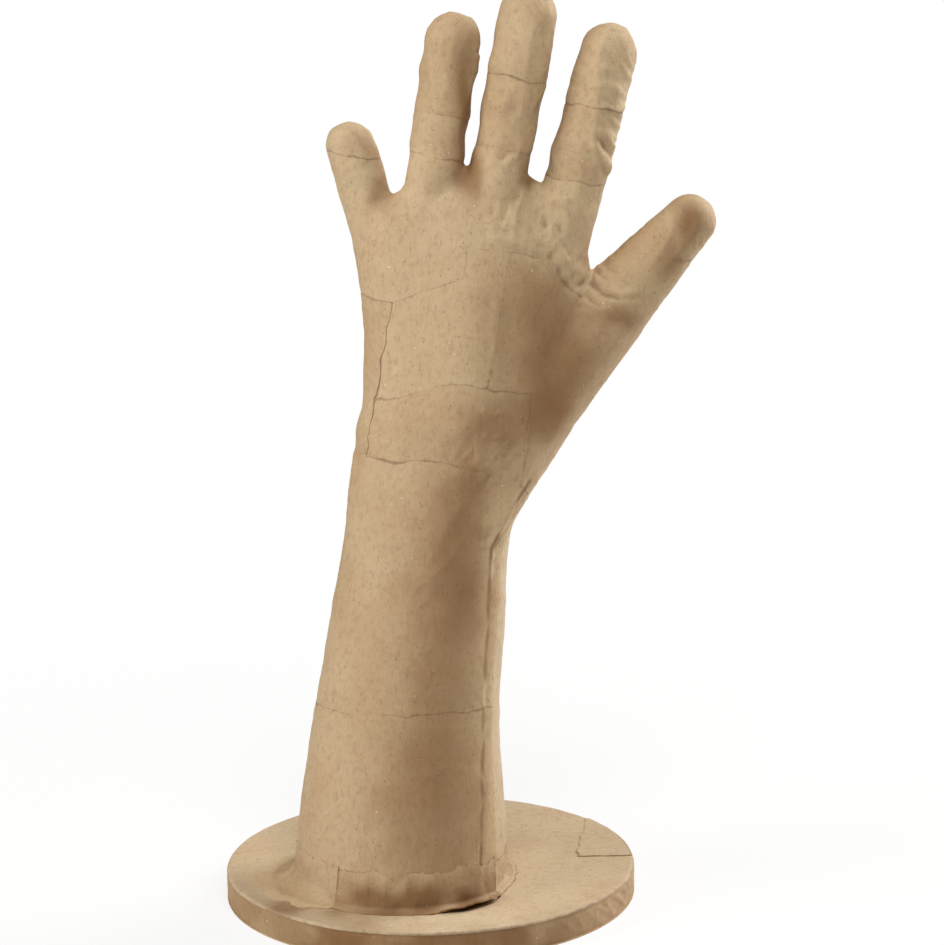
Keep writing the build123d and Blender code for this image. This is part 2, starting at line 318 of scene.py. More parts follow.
@dataclass(frozen=True)
class GreyBoard:
    """Pressed board and pulp under the paper: dull, flecked, without any gloss."""

    name: str
    board_hex: str
    fleck_hex: str
    fleck_mm: float = 1.6
    relief_mm: float = 0.3
    roughness: float = 0.9

    def material(self) -> bpy.types.Material:
        """Build the board material.

        Returns:
            The node material.
        """
        mat = bare_material(self.name)
        tree = mat.node_tree
        place = add_node(tree, "ShaderNodeTexCoord").outputs["Object"]
        fleck = noise_node(tree, place, self.fleck_mm, Detail=4.0).outputs["Fac"]
        layers = {0: fleck, 6: linear(self.board_hex), 7: linear(self.fleck_hex)}
        colour = add_node(tree, "ShaderNodeMix", {"data_type": "RGBA"}, layers).outputs[2]
        relief = {"Height": fleck, "Strength": 0.3, "Distance": self.relief_mm * MM}
        bump = add_node(tree, "ShaderNodeBump", links=relief).outputs["Normal"]
        surface = {"Base Color": colour, "Roughness": self.roughness, "Normal": bump}
        shader = add_node(tree, "ShaderNodeBsdfPrincipled", links=surface)
        add_node(tree, "ShaderNodeOutputMaterial", links={"Surface": shader.outputs["BSDF"]})
        return mat


class Lap(Enum):
    """How far a sheet lies above the core's first layer, in millimetres."""

    UNDER = 0.0
    BETWEEN = 0.07
    OVER = 0.15


@dataclass(frozen=True)
class Sheet:
    """One pasted sheet: the node that it stands for, how it laps and its brown."""

    node: str
    lap: Lap
    tone: Tone


class Facing(Enum):
    """Which side of the arm a fold is on, as the sign of the depth axis."""

    BACK_OF_HAND = -1
    PALM = 1


class Crest(Enum):
    """How a fold's crest is shaped, as the power of its fall to both sides."""

    ROUND = 2.0
    SHARP = 1.0


@dataclass(frozen=True)
class Fold:
    """A ridge or crease in the paper along a path across the arm's own plane.

    The path is in millimetres: across, then up the leaning arm from the base top.
    """

    path: Path2D
    width: float
    height: float
    facing: Facing = Facing.BACK_OF_HAND
    wander: float = 0.8
    crest: Crest = Crest.ROUND
    crease: float = 0.0  # how much painted shade darkens it


@dataclass(frozen=True)
class Crumple:
    """A patch of small wrinkles: where, how far it reaches, and how its folds run."""

    centre: tuple[float, float]
    reach: float
    height: float
    spacing: float
    slant: float  # degrees of the folds from the arm's axis
    facing: Facing = Facing.BACK_OF_HAND


@dataclass(frozen=True)
class SoakAndShade:
    """A place darkened by soaked-in paste and painted shade, or lightened as dry pale paper and by painted
    light.

    Where it is, how far it reaches each way and how strong it is: above zero dark, below zero pale.
    """

    centre: tuple[float, float]
    reach: tuple[float, float]
    amount: float
    facing: Facing = Facing.BACK_OF_HAND


def arm_place(points: np.ndarray) -> np.ndarray:
    """Millimetre points in the arm's own frame: across, depth, up the leaning axis.

    Args:
        points: millimetre points in the object's frame.

    Returns:
        The same points in the arm's frame.
    """
    moved = points - np.array([0.0, FOOT_Y, BASE_TOP])
    c, s = math.cos(LEAN_BACK), math.sin(LEAN_BACK)
    return np.stack([moved[:, 0], moved[:, 1] * c - moved[:, 2] * s, moved[:, 1] * s + moved[:, 2] * c], 1)


def node_arrays(name: str) -> tuple[np.ndarray, np.ndarray]:
    """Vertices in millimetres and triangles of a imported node.

    Args:
        name: the node's name.

    Returns:
        Vertices and triangle indices.
    """
    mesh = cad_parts[name].data
    mesh.calc_loop_triangles()
    co = np.zeros(len(mesh.vertices) * 3)
    mesh.vertices.foreach_get("co", co)
    tri = np.zeros(len(mesh.loop_triangles) * 3, np.int32)
    mesh.loop_triangles.foreach_get("vertices", tri)
    return co.reshape(-1, 3) / MM, tri.reshape(-1, 3)


def filled(points: np.ndarray) -> tuple[np.ndarray, np.ndarray]:
    """Solid hull round a hollow digit.

    Args:
        points: millimetre points of the digit's tube.

    Returns:
        Vertices and triangles of the hull.
    """
    net = bmesh.new()
    for p in points:
        net.verts.new(p)
    bmesh.ops.convex_hull(net, input=list(net.verts))
    net.verts.index_update()
    co = np.array([v.co[:] for v in net.verts])
    tri = np.array([[v.index for v in f.verts] for f in net.faces])
    net.free()
    return co, tri


def waves(points: np.ndarray, spacing: float, seed: float = 0.0) -> np.ndarray:
    """Smooth noise between -1 and 1 at each point.

    Args:
        points: millimetre points.
        spacing: size of a wave in millimetres.
        seed: shift that gives another pattern.

    Returns:
        One value per point.
    """
    shift = Vector((seed * 7.31, seed * 3.17, seed * 5.73))
    return np.array([noise.noise(Vector(p) / spacing + shift) for p in points])


def path_distance(points: np.ndarray, path: Path2D) -> tuple[np.ndarray, np.ndarray]:
    """Distance of plane points from a path, and how far along it they are.

    Args:
        points: points in the plane.
        path: the path's corners.

    Returns:
        Distances, and shares of the path's length from 0 to 1.
    """
    corners = np.array(path, float)
    steps = np.diff(corners, axis=0)
    lengths = np.linalg.norm(steps, axis=1)
    starts = np.concatenate([[0], np.cumsum(lengths)])
    best = np.full(len(points), 1e9)
    along = np.zeros(len(points))
    for corner, step, length, start in zip(corners, steps, lengths, starts):
        share = np.clip((points - corner) @ step / length**2, 0, 1)
        gap = np.linalg.norm(points - corner - share[:, None] * step, axis=1)
        nearer = gap < best
        best[nearer] = gap[nearer]
        along[nearer] = (start + share * length)[nearer] / starts[-1]
    return best, along


def finished(obj: bpy.types.Object, node: str, mat: bpy.types.Material) -> None:
    """Hand a piece over: finish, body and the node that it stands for.

    Args:
        obj: the piece.
        node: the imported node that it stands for.
        mat: its material.
    """
    obj.data.materials.clear()
    obj.data.materials.append(mat)
    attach(obj, BODY)
    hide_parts(node)
    log.info("%s: %d faces", obj.name, len(obj.data.polygons))


def sheet_object(
    name: str,
    points: np.ndarray,
    out: np.ndarray,
    faces: list[list[int]],
    thickness: float,
    marks: dict[str, np.ndarray],
) -> bpy.types.Object:
    """Make a closed thin sheet from its outer face.

    Args:
        name: the piece's name.
        points: millimetre points of the outer face.
        out: outward direction at each point.
        faces: the outer face's polygons.
        thickness: the sheet's thickness in millimetres.
        marks: named values per point for the finish.

    Returns:
        The sheet as an object.
    """
    count = len(points)
    sides = {(f[k - 1], f[k]) for f in faces for k in range(len(f))}
    rim = [[b, a, a + count, b + count] for a, b in sorted(sides) if (b, a) not in sides]
    inner = [[i + count for i in reversed(f)] for f in faces]
    both = np.concatenate([points, points - out * thickness])
    mesh = bpy.data.meshes.new(name)
    mesh.from_pydata((both * MM).tolist(), [], faces + inner + rim)
    for mark, values in marks.items():
        layer = mesh.attributes.new(mark, "FLOAT", "POINT")
        layer.data.foreach_set("value", np.tile(np.asarray(values, np.float32), 2))
    mesh.polygons.foreach_set("use_smooth", [True] * len(mesh.polygons))
    loops = np.zeros(len(mesh.loops), np.int32)
    mesh.loops.foreach_get("vertex_index", loops)
    shading = np.concatenate([out, -out])[loops]
    edge = np.array(rim, int).reshape(-1, 4)
    across = np.cross(both[edge[:, 2]] - both[edge[:, 0]], both[edge[:, 3]] - both[edge[:, 1]])
    across /= np.maximum(np.linalg.norm(across, axis=1, keepdims=True), 1e-9)
    shading[len(shading) - 4 * len(rim) :] = np.repeat(across, 4, 0)
    mesh.normals_split_custom_set(shading.tolist())
    obj = bpy.data.objects.new(name, mesh)
    bpy.context.scene.collection.objects.link(obj)
    return obj


def grid_faces(columns: int, rows: int) -> list[list[int]]:
    """Quads of a grid that is stored row by row.

    Args:
        columns: points in a row.
        rows: number of rows.

    Returns:
        The quads.
    """
    return [
        [j * columns + i, j * columns + i + 1, (j + 1) * columns + i + 1, (j + 1) * columns + i]
        for j in range(rows - 1)
        for i in range(columns - 1)
    ]


def directions(points: np.ndarray, quads: np.ndarray) -> np.ndarray:
    """Smooth outward direction at each point of a net.

    Args:
        points: millimetre points.
        quads: four corners of each face.

    Returns:
        Unit directions.
    """
    across = np.cross(points[quads[:, 2]] - points[quads[:, 0]], points[quads[:, 3]] - points[quads[:, 1]])
    total = np.zeros_like(points)
    for k in range(4):
        np.add.at(total, quads[:, k], across)
    return total / np.maximum(np.linalg.norm(total, axis=1, keepdims=True), 1e-9)


def outward(points: np.ndarray, faces: list[list[int]]) -> np.ndarray:
    """Smooth outward direction at each point of an open net of triangles and quads."""
    return directions(points, np.array([[f[0], f[1], f[2], f[-1]] for f in faces]))


def edge_mark(gap: np.ndarray) -> np.ndarray:
    """How near each point is to a torn edge, from 0 to 1."""
    return np.clip(1 - gap / EDGE_LINE, 0, 1)


@dataclass
class Net:
    """A net of quads: millimetre points, faces and the links between neighbours."""

    points: np.ndarray = field(default_factory=lambda: np.zeros((0, 3)))
    faces: np.ndarray = field(default_factory=lambda: np.zeros((0, 4), int))
    links: np.ndarray = field(default_factory=lambda: np.zeros((0, 2), int))

    def take(self, points: np.ndarray, quads: np.ndarray) -> None:
        """Take over some quads with the points that they use.

        Args:
            points: millimetre points of another net.
            quads: the faces to take over.
        """
        used, renumbered = np.unique(quads, return_inverse=True)
        self.points = points[used]
        self.faces = renumbered.reshape(-1, 4)
        pairs = np.concatenate([self.faces[:, [k, (k + 1) % 4]] for k in range(4)])
        self.links = np.unique(np.sort(pairs, 1), axis=0)

    def normals(self) -> np.ndarray:
        """Outward direction at each point."""
        return directions(self.points, self.faces)

    def neighbours(self, values: np.ndarray) -> tuple[np.ndarray, np.ndarray]:
        """Add up what the neighbours of each point have.

        Args:
            values: one value or vector per point.

        Returns:
            The sums, and how many neighbours each point has.
        """
        a, b = self.links.T
        total = np.zeros_like(values)
        np.add.at(total, a, values[b])
        np.add.at(total, b, values[a])
        return total, np.bincount(self.links.ravel(), minlength=len(values))

    def pull(self) -> np.ndarray:
        """Step from each point to the middle of its neighbours."""
        total, count = self.neighbours(self.points)
        return total / np.maximum(count, 1)[:, None] - self.points

    def smooth(self, rounds: int, weight: np.ndarray) -> None:
        """Relax the net.

        Args:
            rounds: how many times.
            weight: share of the full step at each point.
        """
        for _ in range(rounds):
            self.points += self.pull() * weight[:, None]

    def fill_webs(self, rounds: int) -> None:
        """Round out hollow corners only, as wet paper bridges them.

        Args:
            rounds: how far the rounding spreads.
        """
        for _ in range(rounds):
            step = self.pull()
            inward = np.einsum("ij,ij->i", step, self.normals())
            self.points += step * (np.clip(inward / 0.02, 0, 1) * 0.8)[:, None]


@dataclass(kw_only=True)
class PaperSkin(Net):
    """The pasted skin over forearm, hand and digits, shaped in one go and then cut into sheets.

    Lengths are in millimetres; places are across and up the arm's own plane.
    """

    cores: list[str]
    sheets: list[Sheet]
    folds: list[Fold]
    crumples: list[Crumple]
    soak_and_shade_places: list[SoakAndShade]
    blended: frozenset[frozenset[str]]
    grid: float = 0.7
    standoff: float = 0.6
    closest: float = 0.2  # least gap to the cores after all pressing
    deepest: float = -0.45  # how far the pressing may go in
    thickness: float = 0.5
    lump_height: float = 0.32
    lump_spacing: float = 14.0
    digit_lump_height: float = 0.75
    digit_lump_spacing: float = 8.5
    digits_from: float = 205.0  # up the arm
    digits_fade: float = 25.0
    vein_spacing: float = 9.0
    crinkle_height: float = 0.16
    crinkle_spacing: float = 4.2
    crease_width: float = 0.7
    tear: float = 1.0
    tear_spacing: float = 8.0
    fray: float = 0.35
    fray_spacing: float = 2.2
    curl_width: float = 1.6
    web_rounds: int = 70
    drum: tuple[float, float, float] = (31.5, 30.5, 5.0)  # closes the foot: half width, half depth, height
    drum_sides: int = 48
    drawn_over: tuple[tuple[float, float, int], ...] = (  # where, reach up and down, rounds
        (140.0, 20.0, 70),
        (205.0, 18.0, 40),
    )
    spanned: tuple[tuple[float, float, float, float], ...] = (  # wrist, thumb socket, little finger: from, to
        (17.0, 60.0, 116.0, 153.0),
        (37.0, 50.5, 184.0, 200.5),
        (-22.0, -7.0, 192.0, 211.0),
    )
    wrapped: BVHTree | None = field(default=None, init=False)
    # painted shade in hollows and creases
    hollow: np.ndarray = field(default_factory=lambda: np.zeros(0), init=False)
    # soaked paste and painted shade, or pale paper and painted light
    soak_and_shade: np.ndarray = field(default_factory=lambda: np.zeros(0), init=False)
    owner: np.ndarray = field(default_factory=lambda: np.zeros(0, int), init=False)
    border: np.ndarray = field(default_factory=lambda: np.zeros(0, bool), init=False)

    def build(self) -> None:
        """Wrap the cores, round the webs, press the folds in and cut the sheets' borders."""
        self._wrap()
        self.wrapped = BVHTree.FromPolygons(self.points.tolist(), self.faces.tolist())
        self.smooth(3, np.full(len(self.points), 0.5))
        self.fill_webs(self.web_rounds)
        for height, reach, rounds in self.drawn_over:
            up = arm_place(self.points)[:, 2]
            self.smooth(rounds, 0.5 * np.exp(-(((up - height) / reach) ** 4)))
        self.points += self.normals() * self.standoff
        self.smooth(2, np.full(len(self.points), 0.4))
        self._keep_off_cores(self.standoff - 0.05)
        lift = self._lumps() + self._folded() + self._crumpled()
        self.points += self.normals() * np.maximum(lift, self.deepest)[:, None]
        # the creases' painted shade goes into both the hollow and the soak marks
        creases = self._creases()
        self.hollow = np.maximum(self._hollows(), creases)
        self.soak_and_shade = np.maximum(self._soaked_and_shaded(), 0.9 * creases)
        self.owner = self._owners()
        self._ease_borders()
        self._keep_off_cores(self.closest)

    def _wrap(self) -> None:
        """Shrink one closed net round the cores and keep its outer side."""
        solids: list[tuple[np.ndarray, np.ndarray | list[list[int]]]] = []
        for name in self.cores:
            co, tri = node_arrays(name)
            solids.append(filled(co) if name.endswith("_tube") else (co, tri))
        for west, east, low, high in self.spanned:
            co = np.concatenate([points for points, _ in solids])
            across, _, up = arm_place(co).T
            solids.append(filled(co[(across > west) & (across < east) & (up > low) & (up < high)]))
        solids.append(self._foot_drum())
        rows: list[list[int]] = []
        count = 0
        for co, faces in solids:
            rows += [[int(i) + count for i in face] for face in faces]
            count += len(co)
        mesh = bpy.data.meshes.new("wrap")
        mesh.from_pydata((np.concatenate([co for co, _ in solids]) * MM).tolist(), [], rows)
        obj = bpy.data.objects.new("wrap", mesh)
        bpy.context.scene.collection.objects.link(obj)
        net = obj.modifiers.new("net", "REMESH")
        net.mode = "VOXEL"
        net.voxel_size = self.grid * MM
        depsgraph = bpy.context.evaluated_depsgraph_get()
        wrapped = bpy.data.meshes.new_from_object(obj.evaluated_get(depsgraph))
        co = np.zeros(len(wrapped.vertices) * 3)
        wrapped.vertices.foreach_get("co", co)
        quads = np.zeros(len(wrapped.loops), np.int32)
        wrapped.loops.foreach_get("vertex_index", quads)
        bpy.data.objects.remove(obj)
        bpy.data.meshes.remove(mesh)
        bpy.data.meshes.remove(wrapped)
        self._keep_outer(co.reshape(-1, 3) / MM, quads.reshape(-1, 4))

    def _foot_drum(self) -> tuple[np.ndarray, list[list[int]]]:
        """Low drum that closes the sleeve's slanted foot.

        Returns:
            Its millimetre points and faces.
        """
        half_width, half_depth, height = self.drum
        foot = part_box("forearm_sleeve")[0].z / MM
        n = self.drum_sides
        turns = [2 * math.pi * i / n for i in range(n)]
        points = [
            (FOOT_X + half_width * math.cos(a), FOOT_Y + half_depth * math.sin(a), z)
            for z in (foot, foot + height)
            for a in turns
        ]
        faces = [[i, (i + 1) % n, n + (i + 1) % n, n + i] for i in range(n)]
        return np.array(points), faces + [list(reversed(range(n))), list(range(n, 2 * n))]

    def _keep_outer(self, points: np.ndarray, quads: np.ndarray) -> None:
        """Keep the connected side that reaches furthest, without the foot's underside.

        Args:
            points: millimetre points of the net.
            quads: its faces.
        """
        links = np.concatenate([quads[:, [k, (k + 1) % 4]] for k in range(4)])
        label = np.arange(len(points))
        while True:
            least = label.copy()
            np.minimum.at(least, links[:, 0], label[links[:, 1]])
            np.minimum.at(least, links[:, 1], label[links[:, 0]])
            least = least[least]
            if np.array_equal(least, label):
                break
            label = least
        outer = label[np.argmax(points[:, 2])]
        lowest = points[label == outer][:, 2].min()
        middle = points[quads].mean(1)
        first, second, third, fourth = points[quads].transpose(1, 0, 2)
        across = np.cross(third - first, fourth - second)
        under = (middle[:, 2] < lowest + 1.2) & (across[:, 2] < -0.5 * np.linalg.norm(across, axis=1))
        self.take(points, quads[(label[quads[:, 0]] == outer) & ~under])

    def _keep_off_cores(self, least: float) -> None:
        """Push points out that came too near to the cores.

        Args:
            least: the gap to keep, in millimetres.
        """
        search, longest_push = 4.0, 2.5
        for i, (p, n) in enumerate(zip(self.points, self.normals())):
            spot, out, _, _ = self.wrapped.find_nearest(Vector(p), search)
            if spot is None:
                continue
            gap = float((Vector(p) - spot).dot(out))
            if gap < least:
                self.points[i] += n * min(least - gap, longest_push)

    def _plane(self) -> np.ndarray:
        """Where each point lies in the arm's own plane: across and up."""
        return arm_place(self.points)[:, [0, 2]]

    def _palmward(self) -> np.ndarray:
        """How far each point looks to the palm's side: 1 right at it, -1 right away."""
        return arm_place(self.points + self.normals())[:, 1] - arm_place(self.points)[:, 1]

    def _lumps(self) -> np.ndarray:
        """Unevenness of the whole skin: soft lumps, thin veins and fine crinkles.

        Returns:
            Millimetres outward at each point.
        """
        p = self.points
        digits = np.clip((self._plane()[:, 1] - self.digits_from) / self.digits_fade, 0, 1)
        lift = self.lump_height * waves(p, self.lump_spacing)
        lift += 0.4 * self.lump_height * waves(p, self.lump_spacing / 3, 2.0)
        lift += digits * self.digit_lump_height * waves(p, self.digit_lump_spacing, 3.0)
        veins = 1 - 2 * np.abs(waves(p * np.array([1.0, 1.0, 0.55]), self.vein_spacing, 4.0))
        lift += (0.12 + 0.22 * digits) * np.clip(veins - 0.45, 0, 1) / 0.55
        crinkles = 1 - 2 * np.abs(waves(p * np.array([1.0, 1.0, 0.7]), self.crinkle_spacing, 14.0))
        patchy = np.clip(0.4 + 1.6 * waves(p, 20.0, 15.0), 0.15, 1)
        return lift + self.crinkle_height * np.clip(crinkles - 0.5, 0, 1) / 0.5 * patchy

    def _folded(self) -> np.ndarray:
        """What the folds add.

        Returns:
            Millimetres outward at each point.
        """
        plane, palmward = self._plane(), self._palmward()
        sway = np.stack([waves(self.points, 11.0, 5.0), waves(self.points, 11.0, 6.0)], 1)
        lift = np.zeros(len(plane))
        for fold in self.folds:
            gap, along = path_distance(plane + sway * fold.wander, fold.path)
            ends = np.clip(np.minimum(along, 1 - along) / 0.12, 0.15, 1)
            side = np.clip(palmward * fold.facing.value * 3, 0, 1)
            lift += fold.height * np.exp(-((gap / fold.width) ** fold.crest.value)) * ends * side
        return lift

    def _crumpled(self) -> np.ndarray:
        """What the crumpled patches add.

        Returns:
            Millimetres outward at each point.
        """
        plane, palmward = self._plane(), self._palmward()
        lift = np.zeros(len(plane))
        for patch in self.crumples:
            near = np.exp(-((np.linalg.norm(plane - np.array(patch.centre), axis=1) / patch.reach) ** 2))
            live = near > 0.02
            turn = math.radians(patch.slant)
            along = plane[live] @ np.array([math.sin(turn), math.cos(turn)])
            across = plane[live] @ np.array([math.cos(turn), -math.sin(turn)])
            squeezed = np.stack([across, along * 0.35, np.zeros(len(along))], 1)
            wrinkles = waves(squeezed, patch.spacing, 8.0 + patch.centre[0])
            ridges = np.clip(1 - 2.6 * np.abs(wrinkles), -0.15, 1)
            side = np.clip(palmward[live] * patch.facing.value * 3 + 0.6, 0, 1)
            lift[live] += patch.height * ridges * near[live] * side
        return lift

    def _hollows(self) -> np.ndarray:
        """How hollow the skin is, a little spread out: the mark for painted shade in its hollows.

        Returns:
            A value from 0 to 1 at each point.
        """
        inward = np.einsum("ij,ij->i", self.pull(), self.normals())
        for _ in range(3):
            total, count = self.neighbours(inward)
            inward = (inward + total) / (count + 1)
        return np.clip(inward / 0.05, 0, 1)

    def _creases(self) -> np.ndarray:
        """How much painted shade lies along the creases.

        Returns:
            A value from 0 to 1 at each point.
        """
        plane, palmward = self._plane(), self._palmward()
        mark = np.zeros(len(plane))
        for fold in self.folds:
            if fold.crease:
                gap = path_distance(plane, fold.path)[0]
                broken = np.clip(0.8 + waves(self.points, 7.0, 31.0), 0.35, 1)
                line = fold.crease * broken * np.exp(-((gap / self.crease_width) ** 2))
                mark = np.maximum(mark, line * (palmward * fold.facing.value > -0.3))
        return mark

    def _soaked_and_shaded(self) -> np.ndarray:
        """How much soaked-in paste and painted shade darken the paper, or pale paper and painted light
        lighten it.

        Returns:
            A value at each point: up to 1 where it is darkest, down to -1 where it is palest.
        """
        palmward = self._palmward()
        sway = np.stack([waves(self.points, 10.0, 21.0), waves(self.points, 10.0, 22.0)], 1)
        plane = self._plane() + 3.0 * sway
        unmarked = {True: np.ones(len(plane)), False: np.ones(len(plane))}
        for soak_and_shade in self.soak_and_shade_places:
            away = (plane - np.array(soak_and_shade.centre)) / np.array(soak_and_shade.reach)
            side = np.clip(palmward * soak_and_shade.facing.value * 3 + 0.3, 0, 1)
            unmarked[soak_and_shade.amount > 0] *= 1 - abs(soak_and_shade.amount) * np.exp(-((away**2).sum(1) ** 1.15)) * side
        return unmarked[False] - unmarked[True]

    def _owners(self) -> np.ndarray:
        """Which sheet each face belongs to, with borders torn a little.

        Returns:
            The sheet's number for each face.
        """
        points, faces, owner, count = [], [], [], 0
        for k, sheet in enumerate(self.sheets):
            co, tri = node_arrays(sheet.node)
            points += co.tolist()
            faces += (tri + count).tolist()
            owner += [k] * len(tri)
            count += len(co)
        tree = BVHTree.FromPolygons(points, faces)
        middle = self.points[self.faces].mean(1)
        out = np.zeros(len(middle), int)
        for i, m in enumerate(middle):
            p = Vector(m)
            torn = noise.noise_vector(p / self.tear_spacing) * self.tear
            torn += noise.noise_vector(p / self.fray_spacing) * self.fray
            out[i] = owner[tree.find_nearest(p + torn)[2]]
        return out

    def _ease_borders(self) -> None:
        """Straighten the stepped borders between sheets, and note which of them show."""
        a, b = self.links.T
        sheets: list[set[int]] = [set() for _ in range(len(self.points))]
        for face, k in zip(self.faces, self.owner):
            for i in face:
                sheets[i].add(k)
        many = np.array([len(s) > 1 for s in sheets])
        names = [sheet.node for sheet in self.sheets]
        self.border = np.zeros(len(self.points), bool)
        for i in np.flatnonzero(many):
            group = sorted(sheets[i])
            pairs = [frozenset((names[m], names[n])) for m in group for n in group if m < n]
            self.border[i] = any(pair not in self.blended for pair in pairs)
        key = np.array([hash(tuple(sorted(s))) if len(s) > 1 else 0 for s in sheets])
        edge = many[a] & many[b] & (key[a] == key[b])
        ea, eb = a[edge], b[edge]
        count = np.bincount(np.concatenate([ea, eb]), minlength=len(self.points))
        free = many & (count == 2)
        for _ in range(6):
            total = np.zeros_like(self.points)
            np.add.at(total, ea, self.points[eb])
            np.add.at(total, eb, self.points[ea])
            self.points[free] += 0.5 * (total[free] / 2 - self.points[free])
        beside = np.zeros(len(self.points))
        np.maximum.at(beside, a, many[b].astype(float))
        np.maximum.at(beside, b, many[a].astype(float))
        self.smooth(2, np.where(many, 0.0, beside * 0.5))

    def cut(self, sheet: Sheet) -> bpy.types.Object:
        """Cut one sheet out of the skin.

        Args:
            sheet: the sheet to cut.

        Returns:
            The sheet with its thickness and its edge marks.
        """
        k = self.sheets.index(sheet)
        used, renumbered = np.unique(self.faces[self.owner == k], return_inverse=True)
        out = self.normals()[used]
        points = self.points[used]
        rim = np.flatnonzero(self.border[used])
        gap = np.full(len(used), 99.0)
        if len(rim):
            tree = KDTree(len(rim))
            for i, r in enumerate(rim):
                tree.insert(Vector(points[r]), i)
            tree.balance()
            gap = np.array([tree.find(Vector(p))[2] for p in points])
        curl = np.clip(waves(points, 6.0, 11.0 + k), 0, 1) * np.exp(-((gap / self.curl_width) ** 2))
        rise = sheet.lap.value * (1 + 0.9 * curl)
        marks = {"edge": edge_mark(gap), "hollow": self.hollow[used], "soak_and_shade": self.soak_and_shade[used]}
        points = points + out * rise[:, None]
        rows = renumbered.reshape(-1, 4).tolist()
        return sheet_object(f"paper_{sheet.node}", points, out, rows, self.thickness, marks)


@dataclass
class Covering:
    """A sub-assembly's pasted sheets, with their folds, crumpled patches, and places of soaked paste, painted
    shade and painted light.
    """

    sheets: tuple[Sheet, ...] = ()
    folds: tuple[Fold, ...] = ()
    crumples: tuple[Crumple, ...] = ()
    soak_and_shade_places: tuple[SoakAndShade, ...] = ()

    def dress(self, skin: PaperSkin) -> None:
        """Cut this sub-assembly's sheets out of the finished skin.

        Args:
            skin: the skin that holds them all.
        """
        for sheet in self.sheets:
            finished(skin.cut(sheet), sheet.node, KraftPaper(sheet.tone).material())


@dataclass
class Forearm(Covering):
    """Rolled card sleeve under kraft wraps, with the lapped edge at the right."""

    sheets: tuple[Sheet, ...] = (
        Sheet("forearm_lower_wrap", Lap.OVER, Tone.WARM),
        Sheet("forearm_upper_wrap", Lap.BETWEEN, Tone.WARM),
        Sheet("forearm_edge_strip", Lap.UNDER, Tone.ASH),
    )
    folds: tuple[Fold, ...] = (
        Fold(
            ((33.5, 133), (28.3, 125.8), (19.4, 111.3), (18.7, 93.5))
            + ((17.7, 80), (16.5, 60), (14.9, 21), (14.0, 3)),
            5.5,
            1.7,
            wander=0.25,
            crest=Crest.SHARP,
        ),
        Fold(
            ((34.2, 131.5), (29.4, 125), (21.4, 111), (20.2, 93.5))
            + ((19.2, 80), (18, 60), (16.4, 21), (15.8, 3)),
            0.9,
            -0.6,
            wander=0.0,
            # painted shadow line along the seam's lapped edge
            crease=1.0,
        ),
        Fold(((-2.3, 99.7), (4.9, 105.1), (9.5, 110)), 2.6, 0.6, crest=Crest.SHARP),
        Fold(((-30, 40), (-12, 37), (6, 41)), 2.0, 0.2),
        Fold(((6, 128), (14, 121), (19, 112)), 3.0, -0.5),
    )
    crumples: tuple[Crumple, ...] = (
        Crumple((22, 118), 15.0, 0.55, 5.0, 35.0),
        Crumple((-10, 20), 26.0, 0.18, 7.0, 10.0),
        Crumple((8, 95), 16.0, 0.25, 6.0, 40.0),
    )
    # Dark places are paste stain and painted shade where the forearm turns away from the lamps; the pale one
    # is painted light on the lit strip right of the seam.
    soak_and_shade_places: tuple[SoakAndShade, ...] = (
        SoakAndShade((14, 119), (8, 13), 0.55),
        SoakAndShade((11, 98), (9, 18), 0.6),
        SoakAndShade((4, 66), (15, 80), 0.55),
        SoakAndShade((-5, 30), (20, 28), 0.4),
        SoakAndShade((22.5, 60), (4, 62), -0.5),
    )


